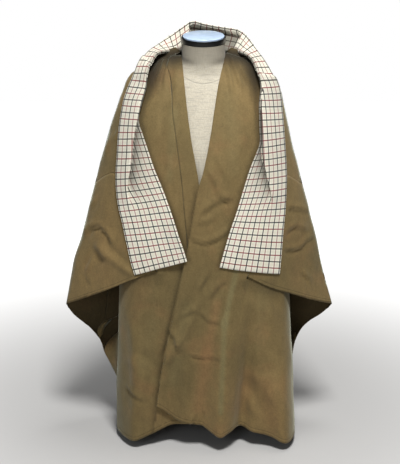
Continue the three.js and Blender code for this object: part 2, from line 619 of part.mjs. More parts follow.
// The back: rows run from the left seam to the right one
function backPiece() {
  const piece = new Cloth();
  const columns = 11;
  const outline = (side) => {
    const rows = SHOULDER_Z.map((t) => ({ s: 1, z: shoulderZ(side, t) }));
    for (const u of steps(SEAM_ROWS).slice(1)) {
      const seam = seamAt(BACK_ARMHOLE[side], u);
      rows.push({ s: onBack(side, seam.x, seam.z), z: seam.z });
    }
    const last = rows[rows.length - 1].z;
    for (const v of steps(6).slice(1)) rows.push({ s: 1, z: mix(last, BACK_HEM, v) });
    return rows;
  };
  const [right, left] = [outline(RIGHT), outline(LEFT)];
  const total = right.length;
  const rows = right.map((_, r) => {
    const centreZ = r <= SHOULDER_ROWS
      ? mix(1000, 880, r / SHOULDER_ROWS)
      : mix(880, BACK_HEM, (r - SHOULDER_ROWS) / (total - 1 - SHOULDER_ROWS));
    const across = (side, end) => steps(columns).map((t) => {
      const s = mix(2, end.s, t);
      const z = mix(centreZ, end.z, t ** 1.3);
      return wallPoint(backSurface(side), s, z, WALL, side);
    });
    const leftHalf = across(LEFT, left[r]).reverse();
    const rightHalf = across(RIGHT, right[r]);
    const row = [...leftHalf, ...rightHalf.slice(1)];
    drawIn(row, true, true);
    return row.map((p) => piece.add(p));
  });
  piece.sheet(rows);
  return piece.geometry();
}

// One sleeve: a lens of cloth between the armhole seam and the cuff edge, folded over at the
// outer fold, open below
function sleevePiece(side) {
  const piece = new Cloth();
  const deep = 7;
  const columns = [];
  const column = (top, bottom, between) => {
    const points = steps(deep).map((v) => between(top, bottom, v));
    drawIn(points, true, false, SLEEVE_DRAW);
    columns.push(points.map((p) => piece.add(p)));
  };
  const seamUs = steps(SEAM_ROWS).slice(1).reverse();
  for (const u of seamUs) {
    const top = seamAt(ARMHOLE[side], u);
    const bottom = seamAt(CUFF[side], u);
    column(top, bottom, (a, b, v) => {
      const [x, z] = [mix(a.x, b.x, v), mix(a.z, b.z, v)];
      const lift = frontPoint(side, side * x, z).y - capeDepth(side * x, z);
      const s = Math.min(0.9999, onFront(side, x, z));
      const point = wallPoint((p, q) => cape(side, p, q), s, z, WALL, side);
      const shift = lift * smooth((z - 400) / 120);
      point.outer.y += shift;
      point.inner.y += shift;
      return point;
    });
  }
  const foldTop = ARMHOLE[side][0].z;
  const outerFold = (v) => wallPoint((p, q) => cape(side, p, q), 1, mix(foldTop, CUFF_TIP, v), WALL, side);
  column(foldTop, CUFF_TIP, (a, b, v) => outerFold(v));
  for (const u of steps(SEAM_ROWS).slice(1)) {
    const top = seamAt(BACK_ARMHOLE[side], u);
    const end = BACK_ARMHOLE[side][BACK_ARMHOLE[side].length - 1].z - 8;
    const bottomZ = mix(CUFF_TIP, end, u);
    const topS = onBack(side, top.x, top.z);
    column(top, bottomZ, (a, b, v) => {
      const z = mix(a.z, b, v);
      const s = mix(topS, BEHIND, v);
      return wallPoint(backSurface(side), s, z, WALL, side);
    });
  }
  piece.sheet(columns);
  return piece.geometry();
}

// Rows of the stole from end to end, each with its two edges and the way it faces
function stoleRows() {
  const onCoat = (side, x, z) => {
    const front = frontPoint(side, x, z);
    if (side === RIGHT) front.y -= 11 * smooth((x + 100) / 44) * smooth((760 - z) / 60);
    return front;
  };
  const hanging = (side, table) => table.map((row) => ({
    outer: onCoat(side, row.outerX, row.outerZ),
    inner: onCoat(side, row.innerX, row.innerZ),
    pleat: row.pleat,
    sink: 0,
    middle: (t) => onCoat(side, mix(row.outerX, row.innerX, t), mix(row.outerZ, row.innerZ, t)),
  }));
  const neck = STOLE_NECK.map((row, k) => {
    const fromEnd = Math.min(k, STOLE_NECK.length - 1 - k);
    const outer = new THREE.Vector3(row.outerX, row.outerY, row.outerZ);
    const inner = new THREE.Vector3(row.innerX, row.innerY, row.innerZ);
    const middle = (t) => outer.clone().lerp(inner, t);
    return { outer, inner, pleat: 0.95, sink: 5 * smooth(fromEnd / 3), middle };
  });
  return [...hanging(RIGHT, STOLE_RIGHT), ...neck, ...hanging(LEFT, STOLE_LEFT).reverse()];
}

// Heights and places of the layers across the stole: three layers where it is folded narrow
function stoleSection(width, pleat) {
  const spare = (STOLE_WIDTH - width) / 2;
  const low = STOLE_LIFT + STOLE_WALL / 2;
  const at = pleat * width;
  if (spare < 7) {
    const rise = Math.max(0, spare) * 0.3;
    const raised = [0, 0.35, 0.7].map((t) => ({ across: at * t + 0.3, height: low + rise }));
    const bend = [-9, -5, -1.5, 1.5, 5, 9].map((d, i) => {
      const height = low + rise * (1 - i / 5);
      return { across: at + 10 + d, height };
    });
    const flat = [0.3, 0.65, 1].map((t) => ({ across: mix(at + 20, width, t), height: low }));
    return [...raised, ...bend, ...flat];
  }
  const turn = LAYER_PITCH / 2;
  const [middle, top] = [low + LAYER_PITCH, low + 2 * LAYER_PITCH];
  const under = Math.max(at - spare, 1.5);
  const outerHeight = mix(low + 1, top, clamp01(spare / 40));
  return [
    { across: 0, height: outerHeight },
    { across: at * 0.35, height: mix(outerHeight, top, 0.5) },
    { across: at * 0.7, height: top },
    { across: at - turn, height: top },
    { across: at, height: top - turn },
    { across: at - turn, height: middle },
    { across: under + turn, height: middle },
    { across: under, height: middle - turn },
    { across: under + turn, height: low },
    { across: mix(under + turn, width, 0.35), height: low },
    { across: mix(under + turn, width, 0.68), height: low },
    { across: width, height: low },
  ];
}

function stolePieces() {
  const rows = stoleRows();
  const centres = rows.map((row) => row.outer.clone().add(row.inner).multiplyScalar(0.5));
  const walls = rows.map((row, r) => {
    const along = centres[Math.min(r + 1, rows.length - 1)].clone().sub(centres[Math.max(r - 1, 0)]);
    const across = row.inner.clone().sub(row.outer);
    const width = across.length();
    const facing = across.clone().cross(along).normalize();
    across.normalize();
    const section = stoleSection(width, row.pleat);
    const line = section.map(({ across: a, height }) => {
      const t = a / width;
      const foot = t > 0 && t < 1 ? row.middle(t) : row.middle(0).addScaledVector(across, a);
      return foot.addScaledVector(facing, height - row.sink);
    });
    return line.map((point, i) => {
      const next = section[Math.min(i + 1, section.length - 1)];
      const before = section[Math.max(i - 1, 0)];
      const [run, climb] = [next.across - before.across, next.height - before.height];
      const size = Math.hypot(run, climb);
      const normal = facing.clone().multiplyScalar(run / size).addScaledVector(across, -climb / size);
      return {
        outer: point.clone().addScaledVector(normal, STOLE_WALL / 2),
        inner: point.clone().addScaledVector(normal, -STOLE_WALL / 2),
      };
    });
  });
  const cuts = [0, STOLE_RIGHT.length - 1, STOLE_RIGHT.length + STOLE_NECK.length, rows.length - 1];
  const names = ['stole_right', 'stole_neck', 'stole_left'];
  names.forEach((name, k) => {
    const piece = new Cloth();
    const copy = (p) => ({ outer: p.outer.clone(), inner: p.inner.clone() });
    const part = walls.slice(cuts[k], cuts[k + 1] + 1).map((row) => row.map(copy));
    const columns = part[0].map((_, c) => part.map((row) => row[c]));
    columns.forEach((column) => drawIn(column, k > 0, k < 2));
    piece.sheet(part.map((row) => row.map((p) => piece.add(p))));
    addMesh(cloth, name, piece.geometry(), stoleMaterial());
  });
}

// The linen-covered torso, closed above and below; its neck leans forward to the ring
function torsoGeometry() {
  const around = 32;
  const positions = [];
  const index = [];
  const tilt = (z) => Math.tan(NECK_TILT) * smooth((z - 985) / 33);
  for (const row of FORM) {
    for (let i = 0; i < around; i += 1) {
      const angle = (i / around) * 2 * Math.PI;
      const depth = Math.sin(angle) < 0 ? row.front : row.back;
      const y = Math.sign(Math.sin(angle)) * depth * Math.abs(Math.sin(angle)) ** (2 * row.round);
      positions.push(row.half * Math.cos(angle), y, row.z + y * tilt(row.z));
    }
  }
  const rings = FORM.length;
  for (let r = 0; r + 1 < rings; r += 1) {
    for (let i = 0; i < around; i += 1) {
      const j = (i + 1) % around;
      const [a, b, c, d] = [r * around + i, r * around + j, (r + 1) * around + j, (r + 1) * around + i];
      index.push(a, c, b, a, d, c);
    }
  }
  const [top, bottom] = [positions.length / 3, positions.length / 3 + 1];
  positions.push(0, 0, FORM[0].z, 0, 0, FORM[rings - 1].z);
  for (let i = 0; i < around; i += 1) {
    const j = (i + 1) % around;
    index.push(top, i, j);
    index.push(bottom, (rings - 1) * around + j, (rings - 1) * around + i);
  }
  const geometry = new THREE.BufferGeometry();
  geometry.setAttribute('position', new THREE.Float32BufferAttribute(positions, 3));
  geometry.setIndex(index);
  geometry.computeVertexNormals();
  return geometry;
}

// A turned piece standing on its foot, from a profile of radius and height
function turned(profile, around) {
  const line = profile.map(([r, z]) => new THREE.Vector2(r, z));
  return new THREE.LatheGeometry(line, around).rotateX(Math.PI / 2);
}

function addForm() {
  addMesh(cloth, 'form_torso', torsoGeometry(), linenMaterial());
  const neck = new THREE.Group();
  neck.position.set(0, 0, NECK_TOP);
  neck.rotation.x = NECK_TILT;
  cloth.add(neck);
  const ring = [
    [0, -RING_HEIGHT], [RING_RADIUS - 1.5, -RING_HEIGHT], [RING_RADIUS, 1.5 - RING_HEIGHT],
    [RING_RADIUS, -1.5 - CAP_SET / 2], [RING_RADIUS - 1.5, -CAP_SET / 2],
    [CAP_RADIUS - 4, -CAP_SET], [0, -CAP_SET],
  ];
  const cap = [
    [0, SEAM_GAP - CAP_SET], [CAP_RADIUS - 5, SEAM_GAP - CAP_SET], [CAP_RADIUS - 0.3, -1.2],
    [CAP_RADIUS - 1.2, 0], [CAP_RADIUS - 8, 1.2], [0, 2],
  ];
  addMesh(neck, 'form_ring', turned(ring, 40), ringMaterial());
  addMesh(neck, 'form_cap', turned(cap, 40), capMaterial());
  const torsoBottom = HEM_CLEAR + FORM[FORM.length - 1].z;
  const [low, high] = [BASE_HEIGHT + SEAM_GAP, torsoBottom - SEAM_GAP];
  const pole = [
    [0, low], [POLE_RADIUS + 7, low], [POLE_RADIUS + 6, low + 10],
    [POLE_RADIUS, low + 14], [POLE_RADIUS, high], [0, high],
  ];
  const poleMesh = addMesh(group, 'form_pole', turned(pole, 24), standMaterial());
  poleMesh.position.y = POLE_BACK;
  addMesh(group, 'form_base', footGeometry(), standMaterial());
}

// A low foot: two skids joined by a cross bar, cut from one plate
function footGeometry() {
  const outline = [
    [SKID_OUT, SKID_FRONT], [SKID_OUT, SKID_BACK], [SKID_IN, SKID_BACK], [SKID_IN, BAR_BACK],
    [-SKID_IN, BAR_BACK], [-SKID_IN, SKID_BACK], [-SKID_OUT, SKID_BACK], [-SKID_OUT, SKID_FRONT],
    [-SKID_IN, SKID_FRONT], [-SKID_IN, BAR_FRONT], [SKID_IN, BAR_FRONT], [SKID_IN, SKID_FRONT],
  ].map(([x, y]) => new THREE.Vector2(x, y));
  const shape = new THREE.Shape();
  outline.forEach((point, i) => {
    const before = outline[(i + outline.length - 1) % outline.length];
    const after = outline[(i + 1) % outline.length];
    const enter = point.clone().lerp(before, FOOT_CORNER / point.distanceTo(before));
    const leave = point.clone().lerp(after, FOOT_CORNER / point.distanceTo(after));
    if (i === 0) shape.moveTo(enter.x, enter.y);
    else shape.lineTo(enter.x, enter.y);
    shape.quadraticCurveTo(point.x, point.y, leave.x, leave.y);
  });
  shape.closePath();
  return new THREE.ExtrudeGeometry(shape, { depth: BASE_HEIGHT, bevelEnabled: false, curveSegments: 4 });
}

addForm();
addMesh(cloth, 'back', backPiece(), coatMaterial());
addMesh(cloth, 'front_right', frontPiece(RIGHT, BAND_SEAM, HEM_RIGHT), coatMaterial());
addMesh(cloth, 'front_left', frontPiece(LEFT, FRONT_EDGE_LEFT, HEM_LEFT), coatMaterial());
addMesh(cloth, 'front_band', bandPiece(), coatMaterial());
addMesh(cloth, 'sleeve_right', sleevePiece(RIGHT), coatMaterial());
addMesh(cloth, 'sleeve_left', sleevePiece(LEFT), coatMaterial());
stolePieces();

export default group;
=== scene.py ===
import math
from bisect import bisect_right

import bmesh
import bpy
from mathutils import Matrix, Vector, noise


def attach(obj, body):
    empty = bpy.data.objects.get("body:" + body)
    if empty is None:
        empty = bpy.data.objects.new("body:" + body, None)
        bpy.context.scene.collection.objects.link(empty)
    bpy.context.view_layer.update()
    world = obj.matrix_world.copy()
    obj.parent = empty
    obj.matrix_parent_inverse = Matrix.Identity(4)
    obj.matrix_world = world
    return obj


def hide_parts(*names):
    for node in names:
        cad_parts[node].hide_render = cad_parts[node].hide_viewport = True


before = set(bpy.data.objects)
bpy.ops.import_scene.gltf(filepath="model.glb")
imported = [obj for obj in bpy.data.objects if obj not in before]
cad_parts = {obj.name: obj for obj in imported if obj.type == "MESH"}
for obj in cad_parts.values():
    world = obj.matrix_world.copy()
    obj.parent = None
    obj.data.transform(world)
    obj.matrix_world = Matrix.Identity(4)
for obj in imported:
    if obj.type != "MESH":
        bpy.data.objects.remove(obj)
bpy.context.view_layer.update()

bl_info = {
    "name": "Blanket coat on a dress form",
    "version": (1, 0, 0),
    "blender": (4, 5, 0),
    "location": "View3D > Sidebar > Coat",
    "description": "Builds a blanket coat with a folded stole on a limbless dress form",
    "category": "Object",
}

# The cloth is described in millimetres, its heights measured from the lowest point of the hem
HEM_CLEAR = 14.0
COAT_FORWARD = 35.0
MILLIMETRE = 0.001

# Sides: -1 is the wearer's right, +1 the wearer's left, which laps over
RIGHT = -1
LEFT = 1

# Gaps, walls and depths of the cloth
SEAM_DRAW = 0.15
CUFF_DRAW = 0.05
SOLID_WALL = 2.0
BAND_RISE = 1.0
LAYER_GAP = 0.6
TUCK_GAP = 2.2
LAP_LIFT = 6.5
LAP_REACH = 260.0
UNDER_DROP = 2.5
LAP_UNDER_STOLE = 11.0
STOLE_LIFT = 2.5
LAYER_PITCH = 3.6
COLLAR_STAND = 13.0
COLLAR_SET_BACK = 16.0
COLLAR_REACH = 110.0
ROLL_PROUD = 4.0
ROLL_SHARE = 0.2
SHOULDER_BUNCH = 24.0
FOLD_OVER = 6.0

# A crease: the share of its width that is kept, how far it runs out past its ends, and how far
# away and how deep its trough is beside its ridge; then the cloth's unevenness, height and size
CREASE_WIDTH = 0.78
CREASE_RUN_OUT = 0.15
TROUGH_AWAY = 1.7
TROUGH_SHARE = 0.75
UNEVENNESS = ((2.6, 62), (1.0, 24))

# Depth and reach of the painted shade beside the lap and under the cuffs
LAP_SHADE, LAP_SHADE_REACH = 0.5, 10.0
CUFF_SHADE, CUFF_SHADE_REACH = 0.42, 26.0

# Heights on the coat, then how far above the underarm a front's edge is on its last two rows
SHOULDER_TOP = 995.0
FRONT_SHOULDER_END = 900.0
BACK_TOP = 1000.0
BACK_SHOULDER_END = 880.0
BAND_TOP = 990.0
BAND_END = 58.0
TUCK_TOP = 604.0
CUFF_TIP = 332.0
BACK_HEM = 14.0
EDGE_OVER_ARMHOLE_END = 40.0
EDGE_OVER_UNDERARM = 14.0

# Places round a section just before and behind the outer fold, and where a front meets the fold
IN_FRONT = 0.9999
BEHIND = 1.0001
NEAR_FOLD = 0.995
# Points further back than this take the creases of the back
BACK_FROM = 5.0

# How the rows of a front and of the back fan out between their edge or middle and their seam
FAN = 1.15
BACK_FAN = 1.3

# Rows and columns of faces
SHOULDER_ROWS = 26
ARMHOLE_ROWS = 52
SKIRT_ROWS = 62
TUCK_ROWS = 14
FRONT_COLUMNS = 44
SIDE_COLUMNS = 46
BAND_ROWS = 190
BAND_COLUMNS = 16
BACK_COLUMNS = 58
BACK_ARMHOLE_ROWS = 60
BACK_SKIRT_ROWS = 34
SLEEVE_ROWS = 40
STOLE_PARTS_ALONG = 8
STOLE_PARTS_ACROSS = 5
TORSO_ROWS = 150
TORSO_COLUMNS = 112


class Table:
    """Sizes in rows of named columns, read along a smooth curve; the first column is the place"""

    def __init__(self, names, rows):
        names = names.split()
        rows = sorted(rows)
        self.columns = {name: [row[i] for row in rows] for i, name in enumerate(names)}
        self.places = self.columns[names[0]]

    def read(self, at, name):
        places, values = self.places, self.columns[name]
        last = len(places) - 1
        at = min(places[last], max(places[0], at))
        i = min(last - 1, max(0, bisect_right(places, at) - 1))

        def slope(k):
            before, after = max(0, k - 1), min(last, k + 1)
            return (values[after] - values[before]) / (places[after] - places[before])

        span = places[i + 1] - places[i]
        t = (at - places[i]) / span
        bend = t * (1 - t) * ((1 - t) * slope(i) - t * slope(i + 1)) * span
        return mix(values[i], values[i + 1], t * t * (3 - 2 * t)) + bend

    def place(self, at):
        return self.read(at, "x"), self.read(at, "z")


# The cape-like upper layer: half widths at the outer fold, the depth of that fold, the depths of
# the centre front and back, and how round the section is (0.5 an ellipse, 1 a pointed oval)
CAPE = Table("z half_right half_left fold front back round", [
    (996, 57, 57, 4, 12, 58, 0.52),
    (985, 88, 86, 4, 26, 66, 0.52),
    (972, 128, 122, 4, 40, 74, 0.53),
    (958, 160, 149, 4, 53, 82, 0.54),
    (944, 180, 167, 4, 63, 88, 0.56),
    (925, 194, 182, 4, 75, 95, 0.58),
    (900, 203, 195, 4, 87, 102, 0.6),
    (870, 215, 202, 5, 99, 109, 0.63),
    (821, 232, 214, 6, 116, 118, 0.67),
    (758, 252, 229, 8, 129, 126, 0.72),
    (700, 269, 245, 10, 137, 131, 0.76),
    (616, 292, 267, 10, 142, 135, 0.82),
    (527, 317, 291, 12, 145, 137, 0.88),
    (455, 339, 309, 14, 145, 137, 0.92),
    (399, 352, 324, 16, 145, 136, 0.92),
    (332, 365, 342, 16, 145, 133, 0.92),
])

# The edge of the back below the cuff tips: it falls on to the body and becomes the side seam
BACK_EDGE = Table("z half_right depth_right half_left depth_left round", [
    (332, 365, 16, 342, 16, 0.92),
    (300, 350, 30, 316, 30, 0.9),
    (272, 328, 45, 286, 48, 0.86),
    (248, 306, 56, 266, 52, 0.8),
    (215, 281, 60, 249, 44, 0.7),
    (180, 268, 50, 242, 38, 0.62),
    (145, 250, 40, 240, 34, 0.56),
    (110, 236, 32, 240, 32, 0.52),
    (0, 234, 32, 244, 32, 0.5),
])

# The lower body under the sleeves; square is how boxy its section is, 1 an ellipse
BODY = Table("z half_right half_left front back square_right square_left", [
    (620, 222, 222, 142, 134, 0.9, 0.9),
    (455, 221, 222, 144, 132, 0.84, 0.82),
    (400, 221, 224, 144, 130, 0.8, 0.76),
    (290, 226, 231, 142, 126, 0.72, 0.66),
    (160, 231, 240, 138, 122, 0.66, 0.58),
    (-20, 234, 247, 132, 120, 0.62, 0.52),
])

# Soft folds: side, 1 behind, top height and width, width at the hem, spread, push outwards
FOLDS = [
    (LEFT, 0, 520, 70, 40, 30, 30),
    (LEFT, 0, 440, 128, 97, 17, -26),
    (LEFT, 0, 330, 190, 214, 38, 46),
    (RIGHT, 0, 430, 165, 182, 34, 26),
    (RIGHT, 0, 420, 70, 84, 30, -20),
    (LEFT, 1, 760, 30, 58, 32, 22),
    (LEFT, 1, 700, 78, 112, 28, -14),
    (LEFT, 1, 640, 120, 162, 32, 20),
    (RIGHT, 1, 740, 34, 50, 30, 20),
    (RIGHT, 1, 690, 80, 102, 28, -15),
    (RIGHT, 1, 600, 128, 156, 32, 20),
]

FRONT_EDGE_LEFT = Table("z x", [
    (996, 56), (979, 51), (927, 37), (874, 28), (795, 15), (714, -2), (690, -10), (628, -22),
    (560, -34), (494, -47), (404, -66), (260, -97), (116, -119), (0, -128),
])
FRONT_EDGE_RIGHT = Table("z x", [
    (996, -56), (979, -53), (918, -46), (874, -41), (795, -30), (713, -15), (640, -5), (500, 4),
    (300, 12), (0, 14),
])
BAND_SEAM = Table("z x", [
    (996, -57), (979, -88), (938, -82), (862, -75), (795, -67), (697, -54), (600, -46), (500, -38),
    (300, -30), (0, -28),
])
HEM_LEFT = Table("x z", [
    (-128, 102), (-114, 98), (-72, 62), (-9, 52), (24, 36), (44, 29), (63, 36), (88, 39), (131, 28),
    (178, 20), (205, 10), (222, 6), (250, 9),
])
HEM_RIGHT = Table("x z", [
    (-240, 5), (-193, 6), (-174, 9), (-130, 24), (-82, 42), (-30, 54), (20, 60),
])

# Seams and the cuff's edge: u is how far along the seam a place is, from the outer fold inwards
ARMHOLE = {
    RIGHT: Table("u x z", [
        (0, 278, 664), (0.1, 250, 689), (0.2, 224, 698), (0.36, 196, 668), (0.6, 160, 590),
        (0.8, 137, 526), (1, 120, 470),
    ]),
    LEFT: Table("u x z", [
        (0, 253, 661), (0.1, 230, 681), (0.2, 209, 693), (0.36, 186, 664), (0.6, 153, 585),
        (0.8, 130, 515), (1, 112, 453),
    ]),
}
CUFF = {
    RIGHT: Table("u x z", [
        (0, 365, 332), (0.25, 307, 365), (0.5, 250, 396), (0.75, 188, 431), (1, 120, 467),
    ]),
    LEFT: Table("u x z", [
        (0, 342, 332), (0.25, 287, 358), (0.5, 228, 387), (0.75, 174, 412), (1, 112, 450),
    ]),
}
# Height of the cuff's edge by its width, for what lies under it
CUFF_BY_WIDTH = {
    RIGHT: Table("x z", [(365, 332), (307, 365), (250, 396), (188, 431), (120, 460)]),
    LEFT: Table("x z", [(342, 332), (287, 358), (228, 387), (174, 412), (112, 443)]),
}
# Where a front's armhole seam ends, hidden under the cuff
UNDERARM = {RIGHT: (114.0, 462.0), LEFT: (106.0, 444.0)}
BACK_ARMHOLE = {
    RIGHT: Table("u x z", [
        (0, 278, 664), (0.25, 258, 560), (0.5, 254, 440), (0.75, 262, 320), (1, 276, 226),
    ]),
    LEFT: Table("u x z", [
        (0, 253, 661), (0.25, 236, 560), (0.5, 232, 440), (0.75, 237, 330), (1, 246, 226),
    ]),
}
# The line down from there on which a front turns to its side
RIDGE = {
    RIGHT: Table("z x", [(462, 114), (300, 112), (0, 122)]),
    LEFT: Table("z x", [(444, 106), (309, 90), (255, 85), (0, 82)]),
}

# Creases of the front: ends in width and height, sideways bow, width, height of the
# raised side, all in millimetres
FRONT_CREASES = [
    (-222, 841, -196, 855, 2, 5, 2.2),
    (-209, 806, -231, 783, 3, 8, 2.6),
    (-231, 785, -250, 738, -3, 8, 2.8),
    (-291, 600, -277, 622, 0, 6, 2.2),
    (-309, 528, -266, 562, 10, 8, 4.2),
    (-268, 561, -232, 524, 8, 8, 4.0),
    (-278, 512, -246, 480, 0, 15, 3.6),
    (-284, 478, -305, 438, 2, 7, 2.6),
    (-310, 424, -290, 406, 0, 6, 2.6),
    (-160, 444, -262, 500, 4, 14, 3.0),
    (12, 722, 40, 658, 5, 8, 3.0),
    (36, 666, 70, 650, 0, 8, 2.6),
    (-6, 622, 62, 656, 6, 9, 3.0),
    (-22, 596, 24, 605, -2, 7, 2.2),
    (-30, 560, -2, 547, -2, 6, 2.8),
    (-6, 546, 62, 578, -7, 8, 3.6),
    (44, 742, 60, 700, 0, 9, 2.0),
    (210, 616, 270, 592, 3, 7, 3.6),
    (205, 512, 258, 508, -4, 8, 3.6),
    (252, 510, 284, 524, 2, 6, 3.2),
    (198, 546, 234, 565, 3, 9, 2.6),
    (230, 564, 266, 546, 3, 8, 2.6),
    (248, 440, 268, 426, 3, 5, 3.0),
    (262, 432, 280, 411, 0, 5, 2.6),
    (-14, 392, -62, 282, 3, 15, 4.6),
    (-58, 290, -94, 222, -2, 12, 3.6),
    (-36, 253, 4, 245, -2, 5, 2.4),
    (2, 245, 42, 250, -2, 6, 1.8),
    (-52, 352, -22, 374, 2, 8, 3.0),
    (-82, 312, -58, 258, 3, 10, 3.0),
    (-6, 368, 14, 342, 0, 8, 2.6),
    (12, 343, 42, 338, 2, 8, 2.2),
    (-12, 424, 14, 470, 2, 8, 3.2),
    (14, 404, 48, 448, 2, 10, 3.0),
    (-34, 56, -20, 86, 0, 5, 3.2),
    (-18, 54, -8, 80, 0, 4, 2.8),
    (-200, 150, -152, 124, 2, 7, 2.4),
    (-160, 250, -118, 170, 10, 26, -4.0),
    (-182, 330, -168, 90, 8, 22, 3.4),
    (140, 190, 184, 118, 4, 24, 3.4),
    (120, 150, 152, 84, 0, 14, -2.6),
    (-94, 990, -116, 930, 2, 6, 3.6),
    (-78, 992, -98, 916, -3, 6, 3.2),
    (-106, 984, -126, 940, 0, 6, 3.0),
    (66, 984, 92, 916, 3, 7, 3.6),
    (58, 976, 70, 900, 0, 7, 3.0),
    (82, 976, 112, 926, 0, 7, 3.2),
    (-64, 960, -92, 820, 8, 12, 2.4),
    (76, 900, 92, 760, 6, 16, 2.4),
]
# The same for the back, which the photo doesn't show
BACK_CREASES = [
    (-20, 960, -70, 800, 8, 14, 3.4),
    (24, 950, 66, 770, -6, 16, 3.0),
    (-120, 900, -190, 720, 6, 16, 3.2),
    (126, 890, 184, 700, -8, 15, 3.4),
    (-60, 700, 40, 660, 10, 12, 2.8),
    (-40, 560, 60, 590, -8, 12, 2.6),
    (-240, 560, -180, 500, 8, 12, 3.6),
    (214, 540, 150, 470, -6, 13, 3.2),
    (-290, 470, -250, 380, 6, 12, 3.0),
    (262, 450, 230, 350, -6, 11, 3.0),
    (-120, 420, -170, 240, 6, 18, 3.4),
    (110, 400, 160, 200, -8, 18, 3.2),
    (-60, 330, -20, 300, 3, 9, 2.6),
    (40, 240, 90, 222, 3, 9, 2.8),
    (-150, 120, -110, 90, 0, 10, 2.6),
    (10, 120, 26, 40, 0, 12, 2.8),
]

# Warm (above 0) and greenish (below 0) patches of the cotton: the warm ones are its own faded tone,
# the greenish ones along fold crests and creases are painted sheen. Ends in width and height, half
# width, strength
TINTS = [
    (84, 480, 52, 335, 9, -0.85),
    (52, 335, 44, 100, 9, -0.8),
    (34, 385, 8, 250, 17, 0.55),
    (8, 250, -12, 100, 22, 0.6),
    (-44, 380, -78, 170, 24, -0.35),
    (112, 190, 92, 90, 24, 0.5),
    (160, 170, 178, 60, 30, 0.45),
    (-180, 185, -138, 150, 24, 0.5),
    (-130, 330, -150, 200, 26, -0.25),
    (-150, 430, -175, 330, 24, 0.3),
    (150, 400, 140, 270, 22, -0.3),
    (-70, 860, -84, 700, 14, -0.4),
    (60, 900, 76, 720, 22, -0.3),
    (-262, 560, -250, 420, 30, 0.25),
    (250, 560, 240, 420, 26, 0.3),
]

# The stole's two visible edges, right and left of the chest, as outer width and height and inner
# width and height, then the place of its fold
STOLE_RIGHT = [
    (-173, 449, -40, 498, 0.08),
    (-183, 483, -47, 522, 0.09),
    (-193, 530, -59, 557, 0.11),
    (-203, 578, -74, 604, 0.14),
    (-212, 617, -89, 646, 0.2),
    (-217, 662, -105, 687, 0.28),
    (-216, 707, -121, 725, 0.39),
    (-212, 749, -133, 760, 0.48),
    (-208, 792, -146, 800, 0.64),
    (-202, 834, -155, 836, 0.94),
    (-193, 880, -144, 880, 0.95),
    (-179, 918, -134, 915, 0.95),
]
STOLE_LEFT = [
    (193, 446, 39, 481, 0.14),
    (197, 500, 52, 530, 0.15),
    (201, 555, 66, 578, 0.18),
    (205, 605, 80, 618, 0.24),
    (206, 655, 93, 661, 0.38),
    (206, 693, 104, 697, 0.52),
    (203, 735, 118, 736, 0.7),
    (198, 780, 135, 780, 0.93),
    (195, 815, 133, 818, 0.94),
    (190, 866, 130, 870, 0.95),
    (179, 914, 130, 914, 0.95),
]
# Round the neck: the outer, upper edge and the inner, lower one, each as width, depth, height
STOLE_NECK = [
    ((-167, -26, 944), (-129, -47, 942)),
    ((-153, -8, 970), (-122, -31, 965)),
    ((-138, 10, 993), (-112, -12, 982)),
    ((-114, 32, 1012), (-97, 12, 986)),
    ((-84, 54, 1034), (-78, 38, 986)),
    ((-57, 73, 1053), (-57, 63, 992)),
    ((-30, 82, 1068), (-31, 77, 1002)),
    ((0, 86, 1062), (0, 82, 1000)),
    ((31, 85, 1056), (30, 79, 998)),
    ((63, 82, 1050), (57, 67, 991)),
    ((91, 74, 1044), (76, 50, 987)),
    ((109, 56, 1034), (88, 30, 985)),
    ((121, 32, 1018), (98, 8, 984)),
    ((135, 10, 995), (109, -8, 978)),
    ((151, -9, 970), (120, -27, 963)),
    ((168, -27, 941), (127, -45, 940)),
]
# The stole's inner edge as the front view shows it
STOLE_INNER = (
    [(x, z) for _, _, x, z, _ in STOLE_RIGHT] + [(x, z) for _, (x, _, z) in STOLE_NECK]
    + [(x, z) for _, _, x, z, _ in STOLE_LEFT[::-1]]
)

FORM_TOP = 1020.4
FORM_BOTTOM = 300.0
# The dress form: half width, depths in front and behind, and how round it is, as for the cape
FORM = Table("z half front back round", [
    (FORM_TOP, 53, 53, 53, 0.5),
    (1004, 53.6, 53.4, 53.4, 0.5),
    (992, 54.2, 54, 54, 0.5),
    (983, 54.6, 54.4, 54.4, 0.5),
    (975, 58, 55, 55, 0.7),
    (966, 80, 56, 57, 1.5),
    (956, 106, 58, 60, 1.5),
    (944, 128, 61, 65, 1.3),
    (930, 149, 68, 70, 1.0),
    (912, 157, 75, 77, 0.78),
    (885, 160, 84, 84, 0.62),
    (850, 156, 95, 90, 0.54),
    (800, 151, 109, 95, 0.5),
    (740, 149, 121, 96, 0.5),
    (690, 143, 119, 94, 0.5),
    (630, 126, 104, 84, 0.5),
    (580, 115, 92, 78, 0.5),
    (520, 127, 95, 88, 0.5),
    (450, 148, 101, 102, 0.5),
    (390, 158, 103, 108, 0.5),
    (330, 154, 97, 102, 0.5),
    (FORM_BOTTOM, 144, 89, 93, 0.5),
])

# The neck's ring and cap; then the stand, which is placed as it stands on the floor
NECK_TILT = math.radians(10.3)
NECK_TOP = 1037.0
RING_RADIUS = 55.5
RING_HEIGHT = 16.0
CAP_RADIUS = 52.4
CAP_SET = 5.0
POLE_RADIUS = 12.5
POLE_BACK = 18.0
STAND_GAP = 0.3
COLLAR_HEIGHT = 10.0
COLLAR_PROUD = 6.5
BASE_HEIGHT = 10.0
SKID_OUT = 192.0
SKID_IN = 158.0
SKID_FRONT = -54.0
SKID_BACK = 56.0
BAR_FRONT = -10.0
BAR_BACK = 46.0

STITCH_INNER = 0.0005
STITCH_OUTER = 0.0019
LINE_EDGE = 0.0004

